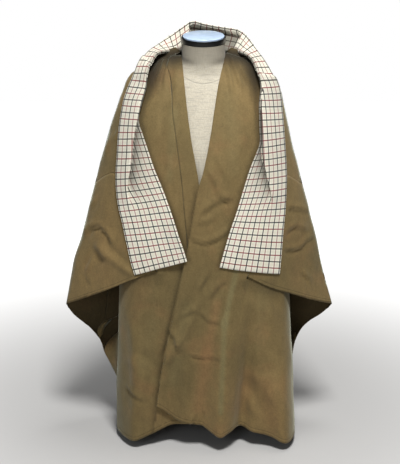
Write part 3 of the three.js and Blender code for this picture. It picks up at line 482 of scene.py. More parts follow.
# The lights: name, place, size of the square, power in watts, colour
LIGHTS = (
    ("key", (0.2, -1.6, 3.15), 0.7, 104, (1.0, 0.985, 0.96)),
    ("top", (0.3, 0.1, 3.2), 0.8, 20, (1.0, 0.99, 0.97)),
    ("fill", (-1.0, -3.2, 1.5), 1.2, 12, (0.97, 0.985, 1.0)),
)
LIGHTS_AIM = (0, 0, 0.6)
WORLD_LIGHT = 0.09


def mix(a, b, t):
    return a + (b - a) * t


def clamp(t):
    return min(1.0, max(0.0, t))


def smooth(t):
    t = clamp(t)
    return t * t * (3 - 2 * t)


def fade(value, start, end):
    """0 up to the start, 1 from the end on, smooth between them; it may run down as well"""
    return smooth((value - start) / (end - start))


def steps(count):
    return [i / count for i in range(count + 1)]


def side_of(x):
    return RIGHT if x < 0 else LEFT


def sided(table, name, side, z):
    """Reads the one of a table's two like columns that belongs to the side"""
    return table.read(z, name + ("_right" if side == RIGHT else "_left"))


def half(table, side, z):
    return sided(table, "half", side, z)


def square(side, z):
    return sided(BODY, "square", side, z)


def around(share, squared=1.0):
    """The place round a section at a share of its half width: 0 in the middle, 1 at the side"""
    return 2 / math.pi * math.asin(clamp(share) ** (1 / squared))


def fold_push(side, back, x, z):
    """How far the soft folds push the cloth out at a place"""
    push = 0.0
    for fold_side, fold_back, top_z, top_x, hem_x, spread, out in FOLDS:
        if fold_side != side or fold_back != back or z > top_z:
            continue
        down = (top_z - z) / top_z
        away = (x - mix(top_x, hem_x, down)) / spread
        push += out * smooth(down * 1.15) * math.exp(-away * away)
    return push


def back_depth(z, centre):
    """The back's middle comes from the lower body below and passes to the upper layer"""
    return mix(BODY.read(z, "back"), centre, fade(z, 300, 400)) if z < 400 else centre


def cape(side, s, z):
    """A point of the upper layer: s is 0 at the centre front, 1 at the outer fold, 2 at the centre
    back"""
    back = s > 1
    low = back and z < CUFF_TIP
    table = BACK_EDGE if low else CAPE
    width = half(table, side, z)
    edge = sided(BACK_EDGE, "depth", side, z) if low else CAPE.read(z, "fold")
    angle = s * math.pi / 2
    x = width * math.sin(angle)
    bulge = abs(math.cos(angle)) ** (2 * table.read(z, "round"))
    if back:
        centre = (BODY if z < CUFF_TIP else CAPE).read(z, "back")
        y = mix(edge, back_depth(z, centre), bulge)
        y += fold_push(side, 1, x, z) * smooth(abs(math.cos(angle)) * 2.2)
    else:
        y = mix(edge, -CAPE.read(z, "front"), bulge)
    return Vector((side * x, y, z))


def on_front(side, x, z):
    """The place round the upper layer's front of a point at a width and height"""
    return around(x / half(CAPE, side, z))


def on_back(side, x, z):
    """The same round its back"""
    return 2 - around(x / half(BACK_EDGE if z < CUFF_TIP else CAPE, side, z))


def cape_depth(x, z):
    """Depth of the upper layer's front at a width and height"""
    side = side_of(x)
    return cape(side, on_front(side, abs(x), z), z).y


def body(side, s, z):
    """A point of the lower body: s as on the upper layer"""
    angle = s * math.pi / 2
    squared = square(side, z)
    x = half(BODY, side, z) * math.sin(angle) ** squared
    cosine = math.cos(angle)
    depth = BODY.read(z, "front" if s < 1 else "back")
    y = -math.copysign(1, cosine) * depth * abs(cosine) ** squared
    if s < 1:
        y -= fold_push(side, 0, x, z) * smooth(cosine * 2.4)
    return Vector((side * x, y, z))


def body_depth(x, z):
    """Depth of the lower body's front at a width and height"""
    side = side_of(x)
    return body(side, around(abs(x) / half(BODY, side, z), square(side, z)), z).y


def lap_lift(x, z):
    """How far the wearer's left front stands forward over the right one"""
    away = (x - FRONT_EDGE_LEFT.read(z, "x")) / LAP_REACH
    return LAP_LIFT * (1 - smooth(away)) * fade(z, 860, 740)


def under_drop(x, z):
    """How far the wearer's right front lies back under the left one"""
    return UNDER_DROP * fade(x, -190, -90) * fade(z, 800, 710)


def front_point(side, x, z):
    """A point of a front: on the upper layer above, on the lower body below"""
    y = mix(body_depth(x, z), cape_depth(x, z), fade(z, 250, 440))
    y += -lap_lift(x, z) if side == LEFT else under_drop(x, z)
    return Vector((x, y, z))


def back_point(side, s, z):
    """A point of the upper layer behind, kept behind its edge below the cuff's tip"""
    return cape(side, max(s, BEHIND) if z < CUFF_TIP else s, z)


def bunch(x, s, z):
    """How far the coat's cloth is bunched up under the stole on a shoulder"""
    out = abs(x)
    across = fade(out, 54, 72) * fade(out, 160, 134) * fade(z, 930, 950)
    on_fold = 0.42 * fade(out, 98, 118)
    if s < 1:
        return SHOULDER_BUNCH * across * on_fold * fade(s, 0.82, 1)
    behind_fold = mix(0.7, 1, fade(out, 95, 115))
    share = mix(on_fold, behind_fold, fade(s, 1, 1.12))
    return SHOULDER_BUNCH * across * share * fade(s, 1.5, 1.25)


def cape_inside(side, s, z, by):
    """A point of the upper layer, moved inwards"""
    along = cape(side, s + 0.02, z) - cape(side, s - 0.02, z)
    down = cape(side, s, z + 1) - cape(side, s, z - 1)
    return cape(side, s, z) - along.cross(down).normalized() * (side * by)


def crease_height(x, z, creases):
    """Height of the creases at a place: a soft ridge with a trough along its lower side"""
    height = 0.0
    for x0, z0, x1, z1, bow, width, rise in creases:
        width *= CREASE_WIDTH
        run, climb = x1 - x0, z1 - z0
        length = math.hypot(run, climb)
        t = ((x - x0) * run + (z - z0) * climb) / (length * length)
        if t < -CREASE_RUN_OUT or t > 1 + CREASE_RUN_OUT:
            continue
        off = ((z - z0) * run - (x - x0) * climb) / length - bow * math.sin(math.pi * clamp(t))
        if abs(off) > 4 * width:
            continue
        ends = fade(t, -CREASE_RUN_OUT, 0.2) * fade(t, 1 + CREASE_RUN_OUT, 0.8)
        ridge = math.exp(-((off / width) ** 2))
        trough = math.exp(-(((off + TROUGH_AWAY * width) / width) ** 2))
        height += rise * ends * (ridge - TROUGH_SHARE * trough)
    return height


def from_line(x, z, x0, z0, x1, z1):
    """Distance of a place from a line between two others"""
    run, climb = x1 - x0, z1 - z0
    t = clamp(((x - x0) * run + (z - z0) * climb) / (run * run + climb * climb))
    return math.hypot(x - x0 - t * run, z - z0 - t * climb)


def tint(p):
    """How warm (above 0) or greenish (below 0) the cotton is at a place of the front: warm is the
    cloth's own faded tone, greenish is painted sheen along fold crests and creases
    """
    total = 0.0
    for x0, z0, x1, z1, width, strength in TINTS:
        away = from_line(p.x, p.z, x0, z0, x1, z1)
        total += strength * math.exp(-((away / width) ** 2))
    return max(-1.0, min(1.0, total))


def stole_shade(p):
    """Depth of the shade on the coat beside the stole's inner edge, deepest on the shoulders"""
    if p.y > 80 or (p.y > 60 and p.z < 930):
        return 0.0
    on_shoulder = fade(p.z, 860, 950)
    reach = mix(8, 31, on_shoulder)
    away = min(from_line(p.x, p.z, *a, *b) for a, b in zip(STOLE_INNER, STOLE_INNER[1:]))
    depth = mix(0.5, 1.0, on_shoulder) * fade(p.y, 80, 30)
    return depth * math.exp(-((away / reach) ** 2))


def lap_shade(p):
    """Depth of the shade on the wearer's right front beside the edge of the left one"""
    beside = FRONT_EDGE_LEFT.read(p.z, "x") - p.x
    if beside < 0.3 or p.y > 0:
        return 0.0
    return LAP_SHADE * math.exp(-((beside / LAP_SHADE_REACH) ** 2)) * fade(p.z, 700, 660)


def cuff_shade(p):
    """Depth of the shade on the skirt under the cuffs"""
    out = abs(p.x)
    below = CUFF_BY_WIDTH[side_of(p.x)].read(out, "z") - p.z
    if below < 0 or p.y > 20:
        return 0.0
    return CUFF_SHADE * math.exp(-below / CUFF_SHADE_REACH) * fade(out, 70, 130)


def stole_cover(x, z):
    """1 where the stole hides the cloth, fading to 0 beside it"""
    rows = STOLE_RIGHT if x < 0 else STOLE_LEFT
    foot = rows[0][1]
    if z > rows[-1][1] + 90:
        return 0.0
    for lower, upper in zip(rows, rows[1:]):
        if z <= upper[1] or upper is rows[-1]:
            t = clamp((z - lower[1]) / (upper[1] - lower[1]))
            outer, inner = mix(lower[0], upper[0], t), mix(lower[2], upper[2], t)
            low, high = min(outer, inner), max(outer, inner)
            beside = fade(x, low - 14, low - 2) * fade(x, high + 14, high + 2)
            return beside * fade(z, foot - 12, foot - 2)
    return 0.0


def drape(point, normal, amount, back):
    """Moves a point of the coat by its creases and by a slight unevenness of the cloth"""
    x, y, z = point
    creased = crease_height(x, z, BACK_CREASES if back else FRONT_CREASES)
    place = Vector((x, y * 0.6, z * 0.55))
    uneven = sum(height * noise.noise(place / size) for height, size in UNEVENNESS)
    away = 1 - stole_cover(x, z) if not back else fade(z, 1000, 940)
    return point + normal * ((creased * amount + uneven) * away)


def in_metres(p):
    """A point of the cloth in the frame of the CAD part"""
    return p.x * MILLIMETRE, (p.y - COAT_FORWARD) * MILLIMETRE, (p.z + HEM_CLEAR) * MILLIMETRE


class Cloth:
    """Points and faces of one piece of cloth, entered row by row"""

    def __init__(self):
        self.points = []
        self.faces = []
        self.marks = []
        self.shades = []

    def add(self, point, mark=(0.0, 0.0), shade=0.0):
        """Enters a point with its place on the flat cloth in metres, and gives its number"""
        self.points.append(point)
        self.marks.append(mark)
        self.shades.append(shade)
        return len(self.points) - 1

    def row(self, points, marks):
        return [self.add(point, mark) for point, mark in zip(points, marks)]

    def sheet(self, rows):
        """Faces between rows of points that have been added"""
        for upper, lower in zip(rows, rows[1:]):
            for c in range(len(upper) - 1):
                self.faces.append((upper[c], lower[c], lower[c + 1], upper[c + 1]))

    def build(self, name, back_test=None, crease=1.0, outwards=None):
        """Makes the object, facing outwards and in metres, with its marks as a UV map and its
        shades and tints as attributes. A piece of the coat gives a test for its back, and is
        creased"""
        facing = 0.0
        for a, b, c, _ in self.faces:
            p, q, r = self.points[a], self.points[b], self.points[c]
            away = outwards if outwards else Vector((p.x, p.y, 0))
            facing += (q - p).cross(r - p).dot(away)
        faces = self.faces if facing > 0 else [tuple(reversed(face)) for face in self.faces]
        points = self.points
        shades = self.shades
        tints = [0.0] * len(points)
        if back_test is not None:
            shades = [max(stole_shade(p), lap_shade(p), cuff_shade(p)) for p in points]
            tints = [0.0 if back_test(p) else tint(p) for p in points]
            normals = [Vector() for _ in points]
            for a, b, c, d in faces:
                normal = (points[c] - points[a]).cross(points[d] - points[b])
                for i in (a, b, c, d):
                    normals[i] += normal
            points = [drape(p, normal.normalized(), crease, back_test(p))
                      for p, normal in zip(points, normals)]
        mesh = bpy.data.meshes.new(name)
        mesh.from_pydata([in_metres(p) for p in points], [], faces)
        layer = mesh.uv_layers.new(name="cloth")
        for loop in mesh.loops:
            layer.data[loop.index].uv = self.marks[loop.vertex_index]
        for kind, values in (("shade", shades), ("tint", tints)):
            mesh.attributes.new(kind, "FLOAT", "POINT").data.foreach_set("value", values)
        mesh.shade_smooth()
        thing = bpy.data.objects.new(name, mesh)
        bpy.context.collection.objects.link(thing)
        return thing


def select_only(thing):
    bpy.ops.object.select_all(action="DESELECT")
    thing.select_set(True)
    bpy.context.view_layer.objects.active = thing


def apply_modifiers(thing):
    select_only(thing)
    for modifier in list(thing.modifiers):
        bpy.ops.object.modifier_apply(modifier=modifier.name)


def round_rims(thing, width, segments, angle):
    """Bevels the edges that are sharper than an angle in degrees; the width is in millimetres"""
    rim = thing.modifiers.new("rim", "BEVEL")
    rim.width = width * MILLIMETRE
    rim.segments = segments
    rim.limit_method = "ANGLE"
    rim.angle_limit = math.radians(angle)
    apply_modifiers(thing)


def thicken(thing, wall, offset=-1.0):
    """Gives a sheet its wall; the inner side takes the second material where there is one"""
    solid = thing.modifiers.new("wall", "SOLIDIFY")
    solid.thickness = wall
    solid.offset = offset
    solid.material_offset = len(thing.data.materials) - 1
    apply_modifiers(thing)


def draw_in(row, first, last, by=SEAM_DRAW):
    """Draws the ends of a row in from the seams, which leaves the gap between two pieces"""
    if first:
        row[0] = row[0] + (row[1] - row[0]).normalized() * by
    if last:
        row[-1] = row[-1] + (row[-2] - row[-1]).normalized() * by


def shoulder_z(side, t):
    """Height of the outer fold between the neck and the armhole"""
    return mix(SHOULDER_TOP, ARMHOLE[side].read(0, "z"), t ** 1.25)


def front_piece(side, edge_table, hem_table):
    """One front with the side of the body that goes on round to the side seam"""
    piece = Cloth()
    under_x, under_z = UNDERARM[side]
    edge_top = under_z + EDGE_OVER_UNDERARM
    armhole_edge = under_z + EDGE_OVER_ARMHOLE_END

    def edge_x(z):
        return edge_table.read(z, "x")

    def hem_z(x):
        return hem_table.read(x, "z")

    def fan(edge_z, out_x, out_z):
        start = edge_x(edge_z)
        return [(mix(start, out_x, t), mix(edge_z, out_z, t ** FAN)) for t in steps(FRONT_COLUMNS)]

    def cape_point(x, z):
        near = side_of(x)
        s = min(1.0, on_front(near, abs(x), z))
        point = cape(near, s, z)
        if s <= NEAR_FOLD:
            point.y += front_point(side, x, z).y - cape_depth(x, z)
        point.z += bunch(point.x, s, z)
        return point

    chest = []
    for t in steps(SHOULDER_ROWS):
        z = shoulder_z(side, t)
        edge_z = mix(SHOULDER_TOP, FRONT_SHOULDER_END, t)
        chest.append(fan(edge_z, side * half(CAPE, side, z), z))
    for u in steps(ARMHOLE_ROWS)[1:]:
        x, z = ARMHOLE[side].place(u)
        chest.append(fan(mix(FRONT_SHOULDER_END, armhole_edge, u), side * x, z))
    chest.append(fan(edge_top, side * under_x, under_z))
    chest_ids = []
    for row in chest:
        lowest = row is chest[-1]
        points = [front_point(side, x, z) if lowest else cape_point(x, z) for x, z in row]
        draw_in(points, side == RIGHT, not lowest)
        marks = [(abs(x - edge_x(z)) * MILLIMETRE, 1.0) for x, z in row]
        chest_ids.append(piece.row(points, marks))

    def ridge_x(z):
        return side * RIDGE[side].read(z, "x")

    def start_s(z):
        return around(abs(ridge_x(z)) / half(BODY, side, z), square(side, z))

    def seam_s(z):
        low_s = 1 + around(0.19, square(side, z))
        return mix(low_s, 1.34, fade(z, 130, 280))

    def tucked(s, z):
        """A point of the side: under the cuff in front, joined to the back's edge behind"""
        p = body(side, s, z)
        flare = fade(z, 470, 600)
        if flare > 0:
            p = p.lerp(cape_inside(side, s, z, SOLID_WALL + TUCK_GAP), flare)
        if s < 1:
            layer = max(cape_depth(p.x, z), front_point(side, p.x, z).y) + SOLID_WALL + TUCK_GAP
            cuff = CUFF_BY_WIDTH[side].read(abs(p.x), "z")
            if p.y < layer:
                p.y = mix(p.y, layer, fade(z, cuff - 66, cuff - 20))
            return p
        edge = cape(side, BEHIND, min(z, CUFF_TIP - 1))
        layer = cape(side, on_back(side, abs(p.x), z), z).y - SOLID_WALL - 2 * LAYER_GAP
        target = edge.lerp(Vector((p.x, layer, z)), fade(z, 180, 250))
        p = p.lerp(target, fade(s, 1, seam_s(z)))
        p.z = z
        if z > 240:
            p.y = min(p.y, layer)
        return p

    side_shares = [t ** 1.05 for t in steps(SIDE_COLUMNS)][1:]
    ridge_hem, edge_hem = hem_z(ridge_x(0)), hem_z(edge_x(30))
    skirt_ids = []
    for v in steps(SKIRT_ROWS):
        inner_ids = chest_ids[-1]
        if v > 0:
            inner, marks = [], []
            for t in steps(FRONT_COLUMNS):
                guess = mix(mix(edge_top, edge_hem, v), mix(under_z, ridge_hem, v), t ** FAN)
                x = mix(edge_x(guess), ridge_x(guess), t)
                z = mix(mix(edge_top, under_z, t ** FAN), hem_z(x), v)
                inner.append(front_point(side, x, z))
                marks.append((abs(x - edge_x(z)) * MILLIMETRE, (z - hem_z(x)) * MILLIMETRE))
            draw_in(inner, side == RIGHT, False)
            inner_ids = piece.row(inner, marks)
        outer, marks = [], []
        for t in side_shares:
            guess = mix(under_z, 0, v)
            s = mix(start_s(guess), seam_s(guess), t)
            hem = mix(hem_z(tucked(s, guess).x), BACK_HEM, fade(s, 0.84, 1.02))
            z = mix(under_z, hem, v)
            outer.append(tucked(mix(start_s(z), seam_s(z), t), z))
            marks.append((1.0, (z - hem) * MILLIMETRE))
        draw_in(outer, False, True)
        skirt_ids.append(inner_ids + piece.row(outer, marks))
    piece.sheet(chest_ids)
    piece.sheet(skirt_ids)

    joint = skirt_ids[0][FRONT_COLUMNS + 1:]
    first, last = start_s(under_z), seam_s(under_z)
    tuck_ids = []
    for v in steps(TUCK_ROWS)[1:]:
        z = mix(under_z, TUCK_TOP, v)
        points = [tucked(mix(first, last, t), z) for t in side_shares]
        tuck_ids.append(piece.row(points, [(1.0, 1.0)] * len(points)))
    piece.sheet(tuck_ids[::-1] + [joint])
    return piece


def band_piece():
    """The raised band down the edge of the wearer's right front"""
    piece = Cloth()
    rows = []
    for down in steps(BAND_ROWS):
        z = mix(BAND_TOP, BAND_END, down)
        start, end = BAND_SEAM.read(z, "x"), FRONT_EDGE_RIGHT.read(z, "x")
        points, marks = [], []
        for t in steps(BAND_COLUMNS):
            point = front_point(RIGHT, mix(start, end, t), z)
            point.y -= BAND_RISE + 0.9 * smooth(t * 14) + 0.5 * math.sin(math.pi * t)
            points.append(point)
            marks.append((abs(end - start) * MILLIMETRE * t, (z - BAND_END) * MILLIMETRE))
        draw_in(points, True, False)
        rows.append(piece.row(points, marks))
    piece.sheet(rows)
    return piece


def back_piece():
    """The back, from the shoulders to the hem; its rows run from the left seam to the right one"""
    piece = Cloth()

    def outline(side):
        ends = [(1.0, shoulder_z(side, t)) for t in steps(SHOULDER_ROWS)]
        for u in steps(BACK_ARMHOLE_ROWS)[1:]:
            x, z = BACK_ARMHOLE[side].place(u)
            ends.append((on_back(side, x, z), z))
        lowest = ends[-1][1]
        return ends + [(1.0, mix(lowest, BACK_HEM, v)) for v in steps(BACK_SKIRT_ROWS)[1:]]

    def across(side, centre_z, end_s, end_z):
        points = []
        for t in steps(BACK_COLUMNS):
            s, z = mix(2, end_s, t), mix(centre_z, end_z, t ** BACK_FAN)
            point = back_point(side, s, z)
            point.z += bunch(point.x, s, z)
            points.append(point)
        return points

    rows = []
    rows_below = BACK_ARMHOLE_ROWS + BACK_SKIRT_ROWS
    for r, (left, right) in enumerate(zip(outline(LEFT), outline(RIGHT))):
        if r <= SHOULDER_ROWS:
            centre_z = mix(BACK_TOP, BACK_SHOULDER_END, r / SHOULDER_ROWS)
        else:
            centre_z = mix(BACK_SHOULDER_END, BACK_HEM, (r - SHOULDER_ROWS) / rows_below)
        row = across(LEFT, centre_z, *left)[::-1] + across(RIGHT, centre_z, *right)[1:]
        draw_in(row, True, True)
        rows.append(piece.row(row, [(1.0, (p.z - BACK_HEM) * MILLIMETRE) for p in row]))
    piece.sheet(rows)
    return piece


def sleeve_piece(side):
    """One sleeve from the armhole seam to the cuff, folded over at the outer fold, open below"""
    piece = Cloth()
    columns = []

    def column(points, length, draw=SEAM_DRAW, clear=0.0):
        draw_in(points, True, False, draw)
        columns.append(piece.row(points, [
            (v * length * MILLIMETRE, ((1 - v) * length + clear) * MILLIMETRE)
            for v in steps(SLEEVE_ROWS)]))

    for u in steps(ARMHOLE_ROWS)[:0:-1]:
        top, end = ARMHOLE[side].place(u), CUFF[side].place(u)
        points = []
        for v in steps(SLEEVE_ROWS):
            x, z = mix(top[0], end[0], v), mix(top[1], end[1], v)
            point = cape(side, min(IN_FRONT, on_front(side, x, z)), z)
            lift = front_point(side, side * x, z).y - cape_depth(side * x, z)
            point.y += lift * fade(z, 400, 520)
            points.append(point)
        draw = mix(CUFF_DRAW, SEAM_DRAW, fade(u, 0.97, 0.87))
        column(points, math.dist(top, end), draw, 30 * fade(u, 0.86, 0.96))
    top_z = ARMHOLE[side].read(0, "z")
    column([cape(side, 1, mix(top_z, CUFF_TIP, v)) for v in steps(SLEEVE_ROWS)], top_z - CUFF_TIP)
    for u in steps(ARMHOLE_ROWS)[1:]:
        x, z = BACK_ARMHOLE[side].place(u)
        seam_s = on_back(side, x, z)
        bottom_z = mix(CUFF_TIP, BACK_ARMHOLE[side].read(1, "z") - 8, u)
        points = [back_point(side, mix(seam_s, BEHIND, v), mix(z, bottom_z, v))
                  for v in steps(SLEEVE_ROWS)]
        column(points, (points[-1] - points[0]).length)
    piece.sheet(columns)
    return piece


def on_coat(side, x, z):
    """A point of the coat's front under the stole, moved out to the lap of the right one"""
    point = front_point(side, x, z)
    if side == RIGHT:
        point.y -= LAP_UNDER_STOLE * fade(x, -100, -56) * fade(z, 760, 700)
    return point


def running_lengths(points):
    """How far along a line of points each one is"""
    lengths = [0.0]
    for a, b in zip(points, points[1:]):
        lengths.append(lengths[-1] + math.dist(a, b))
    return lengths


def stole_section(width, pleat, cut):
    """Across the stole: place, height above the coat, share of the cloth's width. Three layers
    where it is folded narrow, one where it lies open"""
    spare = (cut - width) / 2
    low = STOLE_LIFT
    at = pleat * width
    if spare < 7:
        rise = max(0.0, spare) * 0.3
        line = [(at * t + 0.3, low + rise) for t in (0, 0.35, 0.7)]
        line += [(at + 10 + d, low + rise * (1 - i / 5))
                 for i, d in enumerate((-9, -5, -1.5, 1.5, 5, 9))]
        line += [(mix(at + 20, width, t), low) for t in (0.3, 0.65, 1)]
    else:
        turn = LAYER_PITCH / 2
        middle, top = low + LAYER_PITCH, low + 2 * LAYER_PITCH
        under = max(at - spare, 1.5)
        outer = mix(low + 1, top, clamp(spare / 40))
        line = [
            (0, outer), (at * 0.35, mix(outer, top, 0.5)), (at * 0.7, top), (at - turn, top),
            (at, top - turn), (at - turn, middle), (under + turn, middle), (under, middle - turn),
            (under + turn, low), (mix(under + turn, width, 0.35), low),
            (mix(under + turn, width, 0.68), low), (width, low),
        ]
    lengths = running_lengths(line)
    return [(a, h, length / lengths[-1]) for (a, h), length in zip(line, lengths)]


def behind_neck(x, t):
    """1 on the part of the stole between the two creases behind the neck"""
    right_crease, left_crease = 8 * t - 34, 95 - 24 * t
    return 1 - max(fade(x, right_crease, right_crease - 5), fade(x, left_crease, left_crease + 5))


def collar_relief(x, t):
    """Behind the neck the stole shows its inner side, set back under a rolled top edge; the two
    side parts fold over it, the left one upright, the right one along a slanting crease"""
    if abs(x) > COLLAR_REACH:
        return 0.0
    rolled = fade(t, ROLL_SHARE, ROLL_SHARE - 0.05)
    set_back = mix(COLLAR_SET_BACK, COLLAR_SET_BACK / 2, t) * (1 - rolled)
    return behind_neck(x, t) * (ROLL_PROUD * rolled - set_back)


def fold_over(p):
    """The hanging parts start at a crease, where they fold over the part round the neck"""
    crease = 983 - (p.x + 146) if p.x < 0 else 950 - 0.3 * (p.x - 139)
    return FOLD_OVER * fade(p.z, crease + 2, crease - 2) * fade(p.z, crease - 80, crease - 20)


def stole_controls():
    """The stole's rows from its right end round the neck to its left end: its two edges, the place
    of its fold, how far it sinks, its row of the table where it hangs, and how far it stands up"""

    def hanging(side, row):
        outer, inner = on_coat(side, row[0], row[1]), on_coat(side, row[2], row[3])
        return outer, inner, row[4], 0.0, (side, row), 8 * fade(row[1], 740, 900)

    controls = [hanging(RIGHT, row) for row in STOLE_RIGHT]
    for k, (outer, inner) in enumerate(STOLE_NECK):
        round_neck = smooth(min(k, len(STOLE_NECK) - 1 - k) / 3)
        controls.append((Vector(outer), Vector(inner), 0.95, 5 * round_neck, None,
                         mix(8, COLLAR_STAND, round_neck)))
    return controls + [hanging(LEFT, row) for row in reversed(STOLE_LEFT)]


def stole_rows(cut):
    """Rows of points across the stole, each point with its share of the cut, the way its row faces
    and its place across, and how far along the stole each row is"""
    controls = stole_controls()
    centres = [(outer + inner) / 2 for outer, inner, *_ in controls]
    rows = []
    for r, (outer, inner, pleat, sink, hanging, stand) in enumerate(controls):
        along = centres[min(r + 1, len(centres) - 1)] - centres[max(r - 1, 0)]
        across = inner - outer
        width = across.length
        facing = across.cross(along).normalized()
        across.normalize()
        line = []
        for a, height, share in stole_section(width, pleat, cut):
            t = a / width
            if hanging and 0 < t < 1:
                side, (outer_x, outer_z, inner_x, inner_z, _) = hanging
                foot = on_coat(side, mix(outer_x, inner_x, t), mix(outer_z, inner_z, t))
            elif 0 < t < 1:
                foot = outer.lerp(inner, t)
            else:
                foot = outer + across * a
            line.append((foot + facing * (height - sink + stand * clamp(t)), share, facing, t))
        rows.append(line)
    return rows, running_lengths(centres)


def between(a, b, c, d, t):
    """A smooth curve through b and c"""
    square_part = 2 * a - 5 * b + 4 * c - d
    cube_part = 3 * b - a - 3 * c + d
    return 0.5 * (2 * b + (c - a) * t + square_part * t * t + cube_part * t ** 3)


def refine(values, parts):
    """Adds points between those of a row, along a smooth curve"""
    out = []
    last = len(values) - 1
    for i in range(last):
        a, b = values[max(0, i - 1)], values[i]
        c, d = values[i + 1], values[min(last, i + 2)]
        out += [between(a, b, c, d, k / parts) for k in range(parts)]
    return out + [values[last]]


def pleat_shade(p, past_fold):
    """Depth of the painted shade on the hanging parts of the stole, beside their fold and a little
    all over their upper part
    """
    if p.z > 940:
        return 0.0
    under = math.exp(-past_fold / 20) if past_fold > 0 else 0.0
    return 0.75 * under * fade(p.z, 600, 710) + 0.09 * fade(p.z, 620, 730)


def collar_shade(p, t):
    """Depth of the painted shade round the neck, on the inner side, along the lower edge and a
    little all over
    """
    inner = 0.0
    if abs(p.x) < COLLAR_REACH:
        inner = behind_neck(p.x, t) * fade(t, ROLL_SHARE, ROLL_SHARE + 0.06)
    by_neck = fade(abs(p.x), 97, 77)
    lower_from = mix(0.72, 0.6, by_neck)
    lower = mix(0.4, 0.75, by_neck) * fade(t, lower_from, lower_from + 0.25)
    return max(0.7 * inner, lower, 0.16) * fade(p.z, 925, 955)


def stole_piece(cut):
    """The whole stole, with smooth curves across its rows and along it"""
    rows, lengths = stole_rows(cut)
    piece = Cloth()

    def along(values):
        return refine(values, STOLE_PARTS_ALONG)

    def columns_of(part):
        lines = [refine([point[part] for point in row], STOLE_PARTS_ACROSS) for row in rows]
        return [along(column) for column in zip(*lines)]

    columns = list(zip(columns_of(0), columns_of(1), columns_of(3)))
    facings = along([row[0][2] for row in rows])
    folds = along([row[4][3] for row in rows])
    widths = along([(row[-1][0] - row[0][0]).length for row in rows])
    grid = []
    for r, way in enumerate(along(lengths)):
        line = []
        for points, shares, places in columns:
            p, share, place = points[r], shares[r], places[r]
            relief = fold_over(p) + (collar_relief(p.x, place) if p.z > 950 else 0.0)
            p = p + facings[r] * relief
            uneven = 1 + noise.noise(Vector((p.x, p.y, p.z * 0.5)) / 48)
            swell = 1.1 * uneven * fade(p.z, 430, 470) * fade(p.z, 935, 895)
            p = p + Vector((0, -swell, 0))
            past_fold = (place - folds[r]) * widths[r] if share > 0.45 else 0.0
            shade = pleat_shade(p, past_fold) + collar_shade(p, place)
            line.append(piece.add(p, (share * cut * MILLIMETRE, way * MILLIMETRE), shade))
        grid.append(line)
    piece.sheet(grid)
    return piece


class Nodes:
    """A material's node tree, written as a list of short steps"""

    def __init__(self, name):
        self.material = bpy.data.materials.new(name)
        self.material.use_nodes = True
        self.tree = self.material.node_tree
        self.shader = self.tree.nodes["Principled BSDF"]
        self.count = 0

    def node(self, kind, **settings):
        made = self.tree.nodes.new(kind)
        self.count += 1
        made.location = (-1500 + 190 * (self.count % 8), 300 - 190 * (self.count // 8))
        for key, value in settings.items():
            setattr(made, key, value)
        return made

    def feed(self, socket, value):
        if isinstance(value, bpy.types.NodeSocket):
            self.tree.links.new(value, socket)
        else:
            socket.default_value = value

    def attribute(self, name):
        return self.node("ShaderNodeAttribute", attribute_name=name).outputs["Fac"]

    def parts(self, vector):
        made = self.node("ShaderNodeSeparateXYZ")
        self.feed(made.inputs[0], vector)
        return made.outputs

    def cloth_marks(self):
        """The two marks of a place on a piece of cloth"""
        return self.parts(self.node("ShaderNodeUVMap", uv_map="cloth").outputs[0])

    def opposite(self, value):
        return self.math("SUBTRACT", 1.0, value)

    def darkened(self, colour, kept):
        """The colour, of which a share that differs from place to place is kept"""
        grey = self.node("ShaderNodeCombineColor")
        for socket in grey.inputs:
            self.feed(socket, kept)
        return self.blend(1.0, colour, grey.outputs[0], "MULTIPLY")

    def shaded(self, colour, factor):
        """The colour, darkened where the piece's own shade says so"""
        kept = self.opposite(self.math("MULTIPLY", self.attribute("shade"), factor))
        return self.darkened(colour, kept)

    def lay(self, colour, over, mask, amount):
        """The colour with a second one laid over it where the mask is"""
        return self.blend(self.math("MULTIPLY", mask, amount), colour, over)

    def math(self, operation, *values):
        made = self.node("ShaderNodeMath", operation=operation)
        for socket, value in zip(made.inputs, values):
            self.feed(socket, value)
        return made.outputs[0]

    def place(self, scale=(1, 1, 1), source="Object"):
        coordinates = self.node("ShaderNodeTexCoord")
        mapping = self.node("ShaderNodeMapping")
        mapping.inputs["Scale"].default_value = scale
        self.feed(mapping.inputs["Vector"], coordinates.outputs[source])
        return mapping.outputs[0]

    def noise(self, vector, scale, detail=3.0, roughness=0.5):
        made = self.node("ShaderNodeTexNoise")
        made.inputs["Scale"].default_value = scale
        made.inputs["Detail"].default_value = detail
        made.inputs["Roughness"].default_value = roughness
        self.feed(made.inputs["Vector"], vector)
        return made.outputs["Fac"]

    def ramp(self, value, low, high):
        made = self.node("ShaderNodeMapRange", interpolation_type="SMOOTHSTEP")
        self.feed(made.inputs["Value"], value)
        made.inputs["From Min"].default_value = low
        made.inputs["From Max"].default_value = high
        return made.outputs["Result"]

    def blend(self, factor, a, b, kind="MIX"):
        made = self.node("ShaderNodeMix", data_type="RGBA", blend_type=kind)
        self.feed(made.inputs[0], factor)
        self.feed(made.inputs[6], a)
        self.feed(made.inputs[7], b)
        return made.outputs[2]

    def bump(self, height, strength, distance, normal=None):
        made = self.node("ShaderNodeBump")
        made.inputs["Strength"].default_value = strength
        made.inputs["Distance"].default_value = distance
        self.feed(made.inputs["Height"], height)
        if normal is not None:
            self.feed(made.inputs["Normal"], normal)
        return made.outputs[0]

    def set(self, **values):
        for key, value in values.items():
            self.feed(self.shader.inputs[key.replace("_", " ")], value)


def linear(colour):
    """A colour as it looks on a screen, made linear for a shader"""
    return tuple(c / 12.92 if c <= 0.04045 else ((c + 0.055) / 1.055) ** 2.4
                 for c in colour) + (1.0,)


def darker(colour, share):
    """A shader colour of which a share of the lightness is kept"""
    return tuple(c * share for c in colour[:3]) + (1.0,)


